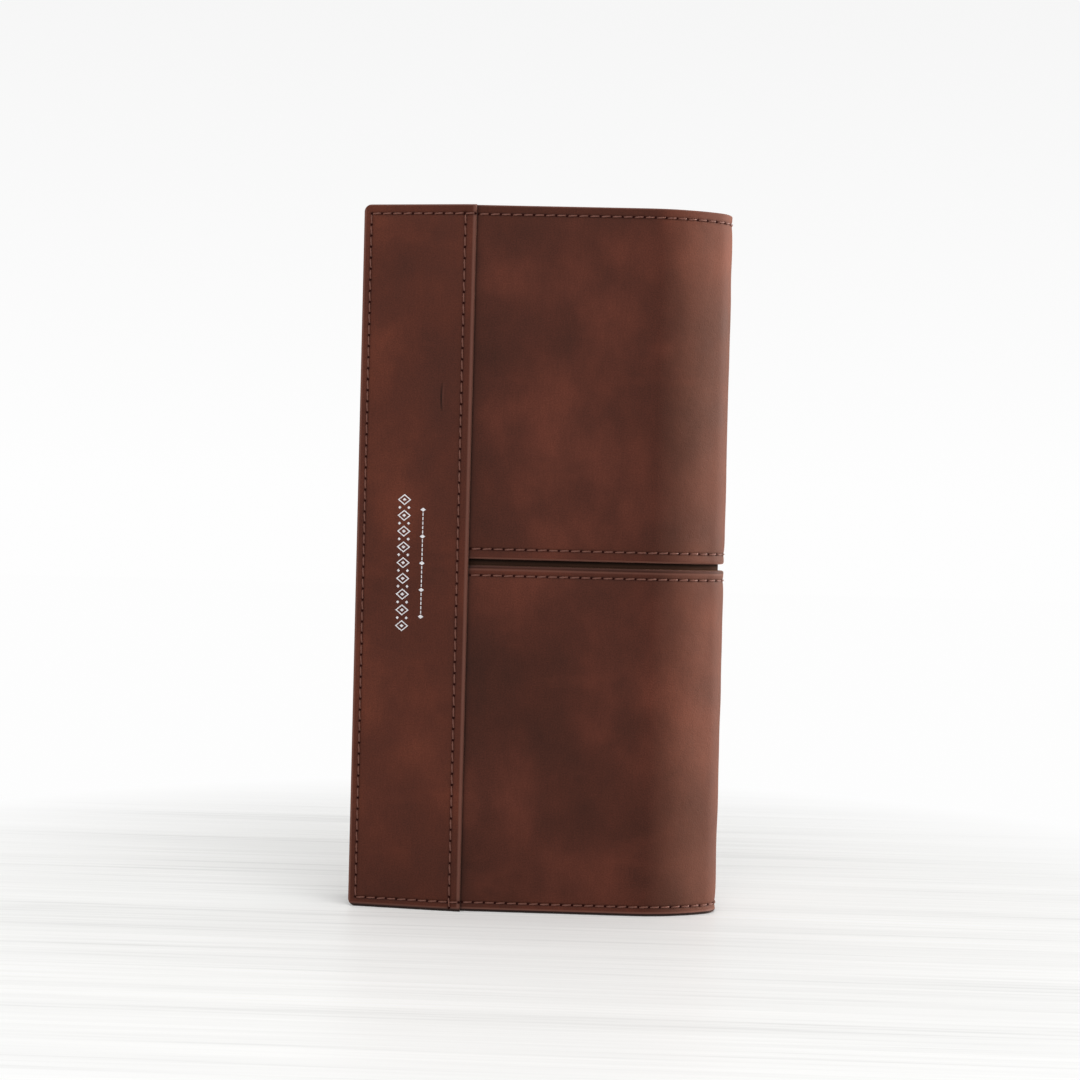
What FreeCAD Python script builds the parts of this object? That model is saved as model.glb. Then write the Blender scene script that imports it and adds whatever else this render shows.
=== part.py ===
import FreeCAD, Part
import math
import os

# A long bifold wallet, shut and standing on its short edge.
# +Z is up the tall side, +X runs from the open edge to the spine, -Y is the front.
# The origin is the middle of the bottom edge.

# Overall size
HEIGHT = 190.0
WIDTH = 100.0
PANEL_HALF_DEPTH = 12.8

# Outer leather
STRIP_WIDTH = 30.6
STRIP_T = 1.0
STRIP_CORNER_R = 2.0
PANEL_T = 1.6
PANEL_TUCK = 5.0
SLOT_CENTRE_Z = 94.1
SLOT_WIDTH = 1.7
FILLER_GAP = 0.3
FILLER_SET_BACK = 0.6

# Line of the cover: a sloping open edge, a flat middle, and a spine of two radii
EDGE_SLOPE = 8.8
EDGE_RUN = 27.0
BEND_R = 30.0
SHOULDER_R = 36.0
SHOULDER_TURN = 35.0

# Sheets behind the panels
BACKING_T = 0.5
LINING_T = 0.4
SPLIT_GAP = 0.3

# Note compartment and card slots
NOTE_GAP = 0.9
NOTE_SHEET_T = 0.5
NOTE_EDGE = 4.0
NOTE_MOUTH_X = 26.0
NOTE_INSET_Z = 3.0
CARD_GAP = 0.9
CARD_SHEET_T = 0.4
CARD_FLOOR_X = -21.0
CARD_MOUTHS_X = (23.0, 13.0, 3.0)
CARD_INSET_Z = 4.0
SEAM_RIM = 3.0
WINDOW_MARGIN = 7.0
WINDOW_R = 3.0
FILM_T = 0.25

# Seam thread, laid in a shallow groove
THREAD_W = 0.5
THREAD_T = 0.3
THREAD_SUNK = 0.05
GROOVE_SIDE = 0.06
STRIP_SEAM_FREE = 2.1
STRIP_SEAM_INNER = 2.9
END_SEAM = 2.5
SLOT_SEAM = 2.7

# Coin pocket leaf
PAGE_OPEN_X = -41.0
PAGE_FORE_HALF = 2.3
PAGE_HALF = 4.0
PAGE_FOLD_X = 32.0
PAGE_WALL_T = 0.9
PAGE_INSET_Z = 6.0
GUSSET_T = 0.8
GUSSET_SET_BACK = 0.5
PAGE_TONGUE_HALF = 0.4
PAGE_PIVOT_X = 39.4
PIVOT_GAP = 0.9
STRAP_INSET_Z = 12.0

# Zip
TAPE_T = 0.4
TAPE_REACH = 0.65
TAPE_DEPTH = 8.0
CHAIN_X0 = -43.2
CHAIN_X1 = -41.7
CHAIN_HALF = 1.9
TOOTH_ROOT = 0.9
TOOTH_TIP = 0.5
TOOTH_PITCH = 2.2
TOOTH_H = 0.9
CHAIN_Z0 = 12.0
TOOTH_COUNT = 150
STOP_H = 1.8
STOP_GAP = 0.2

# Zip slider and pull
SLIDER_Z = 172.5
SLIDER_H = 9.0
SLIDER_HALF = 2.6
SLIDER_PLATE_T = 1.2
SLIDER_CLEAR = 0.1
LUG_X = -46.0
LUG_DROP = 1.5
LUG_R = 1.7
LUG_HALF = 0.6
LUG_HOLE_R = 0.85
PIN_R = 0.75
EAR_R = 1.3
EAR_IN = 0.75
EAR_OUT = 2.0
PULL_T = 1.0
PULL_LENGTH = 24.0
PULL_HALF = 2.6
PULL_SHOULDER = 3.0
PULL_HOLE_R = 1.1

# Magnetic snap
SNAP_X = -35.2
SNAP_Z = 95.0
SNAP_R = 5.0
SNAP_MALE_UP = 1.2
SNAP_MALE_DOWN = 0.4
SNAP_STUD_R = 2.0
SNAP_STUD_H = 1.2
SNAP_FEMALE_UP = 2.0
SNAP_HOLE_R = 2.5
SNAP_HOLE_FLOOR = 0.3
SNAP_SEAT_GAP = 0.05
WASHER_R = 4.0
WASHER_T = 0.3

UP = FreeCAD.Vector(0, 0, 1)
FRONT_BACK = FreeCAD.Vector(0, 1, 0)
ORIGIN = FreeCAD.Vector(0, 0, 0)
BIG = 400.0


class Track:
    """Straight and round stretches laid end to end; sheets are measured from it, inwards to the left."""

    def __init__(self, x, y, heading, stretches):
        self.parts = []
        s = 0.0
        for length, radius in stretches:
            self.parts.append((s, length, radius, x, y, heading))
            x, y, heading = step(x, y, heading, length, radius)
            s += length
        self.length = s

    def at(self, s, depth=0.0):
        chosen = self.parts[0]
        for part in self.parts:
            if s >= part[0]:
                chosen = part
        s0, length, radius, x, y, heading = chosen
        x, y, heading = step(x, y, heading, s - s0, radius)
        point = FreeCAD.Vector(x - depth * math.sin(heading), y + depth * math.cos(heading), 0)
        return point, heading

    def cuts(self, s0, s1):
        inner = [part[0] for part in self.parts if s0 + 1e-6 < part[0] < s1 - 1e-6]
        return [s0] + inner + [s1]

    def is_round(self, s):
        chosen = self.parts[0]
        for part in self.parts:
            if s >= part[0]:
                chosen = part
        return chosen[2] is not None

    def edges(self, s0, s1, depth):
        out = []
        marks = self.cuts(s0, s1)
        for a, b in zip(marks, marks[1:]):
            first = self.at(a, depth)[0]
            last = self.at(b - 1e-9, depth)[0]
            if self.is_round((a + b) / 2):
                middle = self.at((a + b) / 2, depth)[0]
                out.append(Part.Arc(first, middle, last).toShape())
            else:
                out.append(Part.makeLine(first, last))
        return out

    def sheet(self, s0, s1, d0, d1, z0, z1):
        near = self.edges(s0, s1, d0)
        far = self.edges(s0, s1, d1)
        caps = [
            Part.makeLine(self.at(s0, d0)[0], self.at(s0, d1)[0]),
            Part.makeLine(self.at(s1 - 1e-9, d0)[0], self.at(s1 - 1e-9, d1)[0]),
        ]
        wire = Part.Wire(Part.__sortEdges__(near + far + caps))
        body = Part.Face(wire).extrude(FreeCAD.Vector(0, 0, z1 - z0))
        body.translate(FreeCAD.Vector(0, 0, z0))
        return body

    def s_of_x(self, x, half=0):
        """Distance along the track to the first place, after `half`, that has this x on the front side."""
        low = half
        high = self.length / 2
        for _ in range(60):
            mid = (low + high) / 2
            if self.at(mid)[0].x < x:
                low = mid
            else:
                high = mid
        return (low + high) / 2


def step(x, y, heading, length, radius):
    if radius is None:
        return x + length * math.cos(heading), y + length * math.sin(heading), heading
    turn = length / radius
    cx = x - radius * math.sin(heading)
    cy = y + radius * math.cos(heading)
    heading += turn
    return cx + radius * math.sin(heading), cy - radius * math.cos(heading), heading


def fuse(shapes):
    body = shapes[0]
    if len(shapes) > 1:
        body = shapes[0].fuse(shapes[1:])
    return body.removeSplitter()


def box(x0, x1, y0, y1, z0, z1):
    return Part.makeBox(x1 - x0, y1 - y0, z1 - z0, FreeCAD.Vector(x0, y0, z0))


def mirrored(shape):
    return shape.mirror(ORIGIN, FRONT_BACK)


def prism(points, direction):
    wire = Part.makePolygon([FreeCAD.Vector(*p) for p in points + points[:1]])
    return Part.Face(wire).extrude(FreeCAD.Vector(*direction))


def save(name, shape):
    shape.exportStep("parts/%s.step" % name)


# ---- the line the covers follow ------------------------------------------------

slope = math.radians(EDGE_SLOPE)
shoulder = math.radians(SHOULDER_TURN)
SPINE_R = (PANEL_HALF_DEPTH - SHOULDER_R * (1 - math.cos(shoulder))) / math.cos(shoulder)
SPINE_RUN_X = SHOULDER_R * math.sin(shoulder) + SPINE_R * (1 - math.sin(shoulder))
START_X = -WIDTH / 2 + STRIP_T * math.sin(slope)
bend_end_x = START_X + EDGE_RUN * math.cos(slope) + BEND_R * math.sin(slope)
start_y = -PANEL_HALF_DEPTH + EDGE_RUN * math.sin(slope) + BEND_R * (1 - math.cos(slope))
flat_run = WIDTH / 2 - SPINE_RUN_X - bend_end_x
half_line = [
    (EDGE_RUN, None),
    (BEND_R * slope, BEND_R),
    (flat_run, None),
    (SHOULDER_R * shoulder, SHOULDER_R),
    (SPINE_R * (math.pi / 2 - shoulder), SPINE_R),
]
cover_line = Track(START_X, start_y, -slope, half_line + half_line[::-1])
half_length = cover_line.length / 2

# Hinge axis: where the cover can swing a quarter turn while the leather keeps its length
turn_length = SHOULDER_R * shoulder + SPINE_R * (math.pi / 2 - shoulder)
leather_mid = PANEL_T / 2
turn_start = cover_line.at(half_length - turn_length, leather_mid)[0]
turn_end = cover_line.at(half_length, leather_mid)[0]
turn_mid_length = turn_length - leather_mid * math.pi / 2
sum_xy = turn_end.x + turn_start.y
dif_yx = turn_end.y - turn_mid_length - turn_start.x
HINGE_X = (sum_xy - dif_yx) / 2
HINGE_Y = (sum_xy + dif_yx) / 2
shoulder_cx = WIDTH / 2 - SPINE_RUN_X
shoulder_cy = -PANEL_HALF_DEPTH + SHOULDER_R
split_angle = math.atan2(HINGE_X - shoulder_cx, shoulder_cy - HINGE_Y)
split_s = half_length - turn_length + SHOULDER_R * split_angle
cover_end = split_s - SPLIT_GAP / 2
spine_start = split_s + SPLIT_GAP / 2
spine_end = cover_line.length - spine_start

# Depths below the panel face
backing_d = PANEL_T
lining_d = backing_d + BACKING_T
inner_d = lining_d + LINING_T

low_top = SLOT_CENTRE_Z - SLOT_WIDTH / 2
high_bottom = SLOT_CENTRE_Z + SLOT_WIDTH / 2
strip_end = STRIP_WIDTH / math.cos(slope)
panel_start = strip_end - PANEL_TUCK

# ---- outer leather -------------------------------------------------------------


def round_free_corners(shape, radius):
    """Rounds the two corners of a sheet at the open edge of the cover, seen from the front."""
    picked = []
    for edge in shape.Edges:
        box_of = edge.BoundBox
        at_end = box_of.XMax < -WIDTH / 2 + 1.0 and box_of.ZLength < 1e-6
        if at_end and edge.Length < PANEL_T + 1 and (box_of.ZMin < 1 or box_of.ZMax > HEIGHT - 1):
            picked.append(edge)
    return shape.makeFillet(radius, picked)


def thread(s0, s1, face_d, z, wide):
    """One straight seam along the cover, as a bar, or as the groove it lies in."""
    side = THREAD_W / 2 + (GROOVE_SIDE if wide else 0)
    top = face_d + (-1.0 if wide else THREAD_SUNK)
    bottom = face_d + THREAD_SUNK + THREAD_T + (GROOVE_SIDE if wide else 0)
    return cover_line.sheet(s0, s1, top, bottom, z - side, z + side)


def thread_up(s, face_d, z0, z1, wide):
    side = THREAD_W / 2 + (GROOVE_SIDE if wide else 0)
    top = face_d + (-1.0 if wide else THREAD_SUNK)
    bottom = face_d + THREAD_SUNK + THREAD_T + (GROOVE_SIDE if wide else 0)
    return cover_line.sheet(s - side, s + side, top, bottom, z0 - side, z1 + side)


def strip_loop(wide):
    left = STRIP_SEAM_FREE
    right = strip_end - STRIP_SEAM_INNER
    bars = [
        thread(left, right, -STRIP_T, END_SEAM, wide),
        thread(left, right, -STRIP_T, HEIGHT - END_SEAM, wide),
        thread_up(left, -STRIP_T, END_SEAM, HEIGHT - END_SEAM, wide),
        thread_up(right, -STRIP_T, END_SEAM, HEIGHT - END_SEAM, wide),
    ]
    return fuse(bars)


panel_seams = (END_SEAM, low_top - SLOT_SEAM, high_bottom + SLOT_SEAM, HEIGHT - END_SEAM)
thread_start = strip_end + 0.2


def panel_threads(s0, s1, wide):
    return [thread(s0, s1, 0.0, z, wide) for z in panel_seams]


def panel(s0, s1, z0, z1, groove_s0, groove_s1):
    body = cover_line.sheet(s0, s1, 0.0, PANEL_T, z0, z1)
    for z in panel_seams:
        if z0 < z < z1:
            body = body.cut(thread(groove_s0, groove_s1, 0.0, z, True))
    return body


strip = cover_line.sheet(0.0, strip_end, -STRIP_T, 0.0, 0.0, HEIGHT)
strip = round_free_corners(strip, STRIP_CORNER_R)
strip = strip.cut(strip_loop(True))
filler_end = panel_start - FILLER_GAP
filler = cover_line.sheet(
    FILLER_SET_BACK, filler_end, 0.0, PANEL_T, FILLER_SET_BACK, HEIGHT - FILLER_SET_BACK
)
upper = panel(panel_start, cover_end, high_bottom, HEIGHT, thread_start, cover_end + 1)
lower = panel(panel_start, cover_end, 0.0, low_top, thread_start, cover_end + 1)
backing = cover_line.sheet(FILLER_SET_BACK, cover_end, backing_d, lining_d, 0.0, HEIGHT)
lining = cover_line.sheet(FILLER_SET_BACK, cover_end, lining_d, inner_d, 0.0, HEIGHT)
strip_thread = strip_loop(False)
threads = Part.makeCompound(panel_threads(thread_start, cover_end, False))

# ---- note compartment and card slots -------------------------------------------


def pocket(s0, s1, floor_d, gap, sheet_t, z0, z1, dividers):
    """A sheet sewn down along its floor, its two ends and any dividers; its mouth faces the spine."""
    bars = [cover_line.sheet(s0, s1, floor_d + gap, floor_d + gap + sheet_t, z0, z1)]
    bars.append(cover_line.sheet(s0, s0 + SEAM_RIM, floor_d, floor_d + gap, z0, z1))
    rows = [z0, z1 - SEAM_RIM] + [z - SEAM_RIM / 2 for z in dividers]
    for z in rows:
        bars.append(cover_line.sheet(s0, s1, floor_d, floor_d + gap, z, z + SEAM_RIM))
    return fuse(bars)


note_s0 = NOTE_EDGE
note_s1 = cover_line.s_of_x(NOTE_MOUTH_X)
note_top = inner_d + NOTE_GAP + NOTE_SHEET_T
note_panel = pocket(
    note_s0, note_s1, inner_d, NOTE_GAP, NOTE_SHEET_T, NOTE_INSET_Z, HEIGHT - NOTE_INSET_Z, []
)
card_s0 = cover_line.s_of_x(CARD_FLOOR_X)
card_pitch = CARD_GAP + CARD_SHEET_T
cards = []
for row, mouth_x in enumerate(CARD_MOUTHS_X):
    floor_d = note_top + row * card_pitch
    mouth_s = cover_line.s_of_x(mouth_x)
    args = (card_s0, mouth_s, floor_d, CARD_GAP, CARD_SHEET_T)
    cards.append(pocket(*args, CARD_INSET_Z, HEIGHT - CARD_INSET_Z, [HEIGHT / 2]))


def window_cut(grow, d0, d1):
    """Two rounded window openings, one in each half of the top pocket sheet."""
    s0 = card_s0 + WINDOW_MARGIN - 2.0 - grow
    s1 = cover_line.s_of_x(CARD_MOUTHS_X[-1]) - WINDOW_MARGIN / 2 + grow
    cuts = []
    for z0, z1 in (
        (CARD_INSET_Z + WINDOW_MARGIN - grow, HEIGHT / 2 - WINDOW_MARGIN + grow),
        (HEIGHT / 2 + WINDOW_MARGIN - grow, HEIGHT - CARD_INSET_Z - WINDOW_MARGIN + grow),
    ):
        cut = cover_line.sheet(s0, s1, d0, d1, z0, z1)
        ends = [e for e in cut.Edges if e.BoundBox.ZLength < 1e-6 and e.Length < (d1 - d0) * 1.01]
        cuts.append(cut.makeFillet(WINDOW_R, ends))
    return cuts


top_sheet_d = note_top + 2 * card_pitch + CARD_GAP
film_d = top_sheet_d - FILM_T
window_frame = cards[-1]
for cut in window_cut(0.0, top_sheet_d - 0.01, top_sheet_d + CARD_SHEET_T + 0.01):
    window_frame = window_frame.cut(cut)
window_film = Part.makeCompound(window_cut(1.5, film_d, top_sheet_d))

# ---- coin pocket leaf ----------------------------------------------------------

page_slope_run = (PAGE_HALF - PAGE_FORE_HALF) / math.sin(slope)
page_z0 = PAGE_INSET_Z
page_z1 = HEIGHT - PAGE_INSET_Z


def page_profile(depth, x0):
    """Points down the front side of the leaf at a depth below its face, from x0 to the fold."""
    lead = depth / math.cos(slope)
    knee = PAGE_OPEN_X + page_slope_run * math.cos(slope) + depth * math.tan(slope / 2)
    y0 = -(PAGE_FORE_HALF + (x0 - PAGE_OPEN_X) * math.tan(slope)) + lead
    return [(x0, y0), (knee, -PAGE_HALF + depth), (PAGE_FOLD_X, -PAGE_HALF + depth)]


def page_sheet(d0, d1, x0, z0, z1, x1=PAGE_FOLD_X):
    outer = page_profile(d0, x0)
    inner = page_profile(d1, x0)
    points = [(x, y, z0) for x, y in outer + inner[::-1]]
    body = prism(points, (0, 0, z1 - z0))
    if x1 < PAGE_FOLD_X:
        body = body.cut(box(x1, BIG, -BIG, BIG, -BIG, BIG))
    return body


page_wall = page_sheet(0.0, PAGE_WALL_T, PAGE_OPEN_X, page_z0, page_z1)
fold_outer = Part.makeCylinder(PAGE_HALF, page_z1 - page_z0, FreeCAD.Vector(PAGE_FOLD_X, 0, page_z0))
fold_inner = Part.makeCylinder(
    PAGE_HALF - PAGE_WALL_T, page_z1 - page_z0, FreeCAD.Vector(PAGE_FOLD_X, 0, page_z0)
)
fold = fold_outer.cut(fold_inner).cut(box(-BIG, PAGE_FOLD_X, -BIG, BIG, -BIG, BIG))
tongue_x0 = PAGE_FOLD_X + PAGE_HALF - PAGE_WALL_T / 2
tongue = box(
    tongue_x0,
    PAGE_PIVOT_X - PIVOT_GAP,
    -PAGE_TONGUE_HALF,
    PAGE_TONGUE_HALF,
    STRAP_INSET_Z,
    HEIGHT - STRAP_INSET_Z,
)
fold = fuse([fold, tongue])

inside_front = page_profile(PAGE_WALL_T, PAGE_OPEN_X + GUSSET_SET_BACK)
inside_back = [(x, -y) for x, y in inside_front]
gusset_points = [(x, y, page_z0) for x, y in inside_front + inside_back[::-1]]
gusset = prism(gusset_points, (0, 0, GUSSET_T))
gusset_round = Part.makeCylinder(
    PAGE_HALF - PAGE_WALL_T, GUSSET_T, FreeCAD.Vector(PAGE_FOLD_X, 0, page_z0)
)
gusset = fuse([gusset, gusset_round])
gusset_top = gusset.copy()
gusset_top.translate(FreeCAD.Vector(0, 0, page_z1 - page_z0 - GUSSET_T))

# ---- zip -----------------------------------------------------------------------

tape = page_sheet(
    PAGE_WALL_T,
    PAGE_WALL_T + TAPE_T,
    PAGE_OPEN_X - TAPE_REACH,
    page_z0 + GUSSET_T,
    page_z1 - GUSSET_T,
    PAGE_OPEN_X + TAPE_DEPTH,
)


def teeth_row(first):
    """A comb of teeth on one cord, from the front side; the other row's teeth sit in its gaps."""
    points = [(-CHAIN_HALF, CHAIN_Z0), (-TOOTH_ROOT, CHAIN_Z0)]
    for i in range(TOOTH_COUNT):
        if i % 2 != first:
            continue
        z = CHAIN_Z0 + (i + 0.5) * TOOTH_PITCH / 2
        points += [(-TOOTH_ROOT, z), (TOOTH_TIP, z), (TOOTH_TIP, z + TOOTH_H), (-TOOTH_ROOT, z + TOOTH_H)]
    top = CHAIN_Z0 + (TOOTH_COUNT + 1) * TOOTH_PITCH / 2
    points += [(-TOOTH_ROOT, top), (-CHAIN_HALF, top)]
    body = prism([(CHAIN_X0, y, z) for y, z in points], (CHAIN_X1 - CHAIN_X0, 0, 0))
    return body


chain_top = CHAIN_Z0 + (TOOTH_COUNT + 1) * TOOTH_PITCH / 2
teeth_front = teeth_row(0)
teeth_back = mirrored(teeth_row(1))
stops = []
for z0 in (CHAIN_Z0 - STOP_GAP - STOP_H, chain_top + STOP_GAP):
    block = box(CHAIN_X0, CHAIN_X1, -CHAIN_HALF, CHAIN_HALF, z0, z0 + STOP_H)
    along = [e for e in block.Edges if e.BoundBox.XLength > 1.0]
    stops.append(block.makeFillet(0.5, along))
zip_stops = Part.makeCompound(stops)

# Slider: a channel that wraps the teeth, with a lug for the pull
plate_x1 = CHAIN_X0 - SLIDER_CLEAR * 2
plate_x0 = plate_x1 - SLIDER_PLATE_T
lip_x0 = CHAIN_X1 + SLIDER_CLEAR
lip_x1 = PAGE_OPEN_X - SLIDER_CLEAR
flange_in = CHAIN_HALF + SLIDER_CLEAR
lip_in = CHAIN_HALF - 0.4
z_low = SLIDER_Z - SLIDER_H / 2
channel = [
    (plate_x0, -SLIDER_HALF),
    (lip_x1, -SLIDER_HALF),
    (lip_x1, -lip_in),
    (lip_x0, -lip_in),
    (lip_x0, -flange_in),
    (plate_x1, -flange_in),
    (plate_x1, flange_in),
    (lip_x0, flange_in),
    (lip_x0, lip_in),
    (lip_x1, lip_in),
    (lip_x1, SLIDER_HALF),
    (plate_x0, SLIDER_HALF),
]
slider = prism([(x, y, z_low) for x, y in channel], (0, 0, SLIDER_H))
outer_corners = []
for edge in slider.Edges:
    limits = edge.BoundBox
    if limits.ZLength > 1 and limits.XMax < plate_x0 + 0.01:
        outer_corners.append(edge)
slider = slider.makeFillet(0.5, outer_corners)
LUG_Z = SLIDER_Z - LUG_DROP
across = FreeCAD.Vector(0, 1, 0)


def cross_disc(radius, half):
    return Part.makeCylinder(radius, 2 * half, FreeCAD.Vector(LUG_X, -half, LUG_Z), across)


lug_foot = box(LUG_X, plate_x0 + 0.2, -LUG_HALF, LUG_HALF, LUG_Z - LUG_R, LUG_Z + LUG_R)
slider = fuse([slider, cross_disc(LUG_R, LUG_HALF), lug_foot])
slider = slider.cut(cross_disc(LUG_HOLE_R, LUG_HALF + 1))

# Pull: two ears and a pin through the lug, and a flat tab hanging down
pin = cross_disc(PIN_R, EAR_OUT)
ears = []
for side in (-1, 1):
    y0 = min(side * EAR_IN, side * EAR_OUT)
    ear = Part.makeCylinder(EAR_R, EAR_OUT - EAR_IN, FreeCAD.Vector(LUG_X, y0, LUG_Z), across)
    leg = box(
        LUG_X - PULL_T / 2,
        LUG_X + PULL_T / 2,
        y0,
        y0 + EAR_OUT - EAR_IN,
        LUG_Z - PULL_SHOULDER - 0.5,
        LUG_Z,
    )
    ears += [ear, leg]
tab_z0 = LUG_Z - PULL_LENGTH
tab_z1 = LUG_Z - PULL_SHOULDER
tab = box(LUG_X - PULL_T / 2, LUG_X + PULL_T / 2, -PULL_HALF, PULL_HALF, tab_z0, tab_z1)
low_corners = []
for edge in tab.Edges:
    limits = edge.BoundBox
    if limits.XLength > PULL_T / 2 and limits.ZMax < tab_z0 + 0.01:
        low_corners.append(edge)
tab = tab.makeFillet(PULL_HALF - 0.2, low_corners)
high_corners = []
for edge in tab.Edges:
    limits = edge.BoundBox
    if limits.XLength > PULL_T / 2 and limits.ZMin > tab_z1 - 0.01 and limits.ZLength < 1e-6:
        if limits.YLength < 1e-6:
            high_corners.append(edge)
tab = tab.makeChamfer(0.9, high_corners)
pull = fuse([pin, tab] + ears)
hole_at = FreeCAD.Vector(LUG_X - PULL_T, 0, tab_z0 + PULL_HALF + 1.0)
pull = pull.cut(Part.makeCylinder(PULL_HOLE_R, 2 * PULL_T, hole_at, FreeCAD.Vector(1, 0, 0)))

# ---- magnetic snap -------------------------------------------------------------

# Both halves share one axis, square to the sloping open edge
snap_s = cover_line.s_of_x(SNAP_X)
snap_in = FreeCAD.Vector(math.sin(slope), math.cos(slope), 0)


def snap_point(depth):
    point = cover_line.at(snap_s, depth)[0]
    point.z = SNAP_Z
    return point


def snap_disc(radius, d0, d1):
    return Part.makeCylinder(radius, d1 - d0, snap_point(d0), snap_in)


note_under = inner_d + NOTE_GAP
male_base = note_under - SNAP_MALE_DOWN
male_face = note_top + SNAP_MALE_UP
male = snap_disc(SNAP_R, male_base, male_face)
rim_edge = [e for e in male.Edges if (e.CenterOfMass - snap_point(male_face)).Length < 0.01]
male = male.makeFillet(0.4, rim_edge)
stud = snap_disc(SNAP_STUD_R, male_face - 0.2, male_face + SNAP_STUD_H)
stud_tip = [e for e in stud.Edges if (e.CenterOfMass - snap_point(male_face + SNAP_STUD_H)).Length < 0.01]
stud = stud.makeChamfer(0.3, stud_tip)
snap_stud = fuse([male, stud])
stud_washer = snap_disc(WASHER_R, inner_d, inner_d + WASHER_T)
note_panel_front = note_panel.cut(snap_disc(SNAP_R + SNAP_SEAT_GAP, male_base, male_face))

# Depth, on the snap's own axis, of the face of the coin pocket
page_face_y = -(PAGE_FORE_HALF + (SNAP_X - PAGE_OPEN_X) * math.tan(slope))
axis_foot = snap_point(0.0)
female_seat = (page_face_y - axis_foot.y) * math.cos(slope) + (SNAP_X - axis_foot.x) * math.sin(slope)
female = snap_disc(SNAP_R, female_seat - SNAP_FEMALE_UP, female_seat)
rim_edge = [
    e for e in female.Edges if (e.CenterOfMass - snap_point(female_seat - SNAP_FEMALE_UP)).Length < 0.01
]
female = female.makeFillet(0.4, rim_edge)
hole = snap_disc(SNAP_HOLE_R, female_seat - SNAP_FEMALE_UP - 0.1, female_seat - SNAP_HOLE_FLOOR)
snap_socket = female.cut(hole)
washer_d = female_seat + PAGE_WALL_T + TAPE_T
socket_washer = snap_disc(WASHER_R, washer_d, washer_d + WASHER_T)

# ---- spine ---------------------------------------------------------------------

spine_upper = panel(spine_start, spine_end, high_bottom, HEIGHT, spine_start - 1, spine_end + 1)
spine_lower = panel(spine_start, spine_end, 0.0, low_top, spine_start - 1, spine_end + 1)
spine_backing = cover_line.sheet(spine_start, spine_end, backing_d, lining_d, 0.0, HEIGHT)
spine_lining = cover_line.sheet(spine_start, spine_end, lining_d, inner_d, 0.0, HEIGHT)
spine_threads = Part.makeCompound(panel_threads(spine_start, spine_end, False))
strap = box(
    PAGE_PIVOT_X + PIVOT_GAP,
    WIDTH / 2 - inner_d,
    -PAGE_TONGUE_HALF,
    PAGE_TONGUE_HALF,
    STRAP_INSET_Z,
    HEIGHT - STRAP_INSET_Z,
)
strap = strap.cut(spine_lining)

# ---- write each piece ----------------------------------------------------------

pieces = {
    "front_strip": strip,
    "front_filler_board": filler,
    "upper_panel_front": upper,
    "lower_panel_front": lower,
    "front_backing": backing,
    "front_lining": lining,
    "front_note_panel": note_panel_front,
    "front_card_pocket_1": cards[0],
    "front_card_pocket_2": cards[1],
    "front_card_pocket_3": cards[2],
    "front_strip_thread": strip_thread,
    "front_panel_threads": threads,
    "snap_stud": snap_stud,
    "snap_stud_washer": stud_washer,
    "back_strip": mirrored(strip),
    "back_filler_board": mirrored(filler),
    "upper_panel_back": mirrored(upper),
    "lower_panel_back": mirrored(lower),
    "back_backing": mirrored(backing),
    "back_lining": mirrored(lining),
    "back_note_panel": mirrored(note_panel),
    "back_card_pocket_1": mirrored(cards[0]),
    "back_card_pocket_2": mirrored(cards[1]),
    "id_window_frame": mirrored(window_frame),
    "id_window_film": mirrored(window_film),
    "back_strip_thread": mirrored(strip_thread),
    "back_panel_threads": mirrored(threads),
    "upper_panel_spine": spine_upper,
    "lower_panel_spine": spine_lower,
    "spine_backing": spine_backing,
    "spine_lining": spine_lining,
    "spine_panel_threads": spine_threads,
    "leaf_hinge_strap": strap,
    "leaf_front_wall": page_wall,
    "leaf_back_wall": mirrored(page_wall),
    "leaf_fold": fold,
    "leaf_gusset_bottom": gusset,
    "leaf_gusset_top": gusset_top,
    "zip_tape_front": tape,
    "zip_tape_back": mirrored(tape),
    "zip_teeth_front": teeth_front,
    "zip_teeth_back": teeth_back,
    "zip_stops": zip_stops,
    "snap_socket": snap_socket,
    "snap_socket_washer": socket_washer,
    "zip_slider": slider,
    "zip_pull": pull,
}

os.makedirs("parts", exist_ok=True)
for name, shape in pieces.items():
    save(name, shape)
    limits = shape.BoundBox
    print("%-22s" % name, len(shape.Solids), shape.isValid(), round(shape.Volume, 1),
          "x %.2f %.2f y %.2f %.2f z %.2f %.2f" % (
              limits.XMin, limits.XMax, limits.YMin, limits.YMax, limits.ZMin, limits.ZMax))
print("front hinge axis", round(HINGE_X, 3), round(HINGE_Y, 3), "pieces", len(pieces))
print("snap: male face", round(male_face, 3), "female face", round(female_seat - SNAP_FEMALE_UP, 3))
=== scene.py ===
import bpy
import math
import numpy as np
from mathutils import Matrix, Vector


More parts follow.
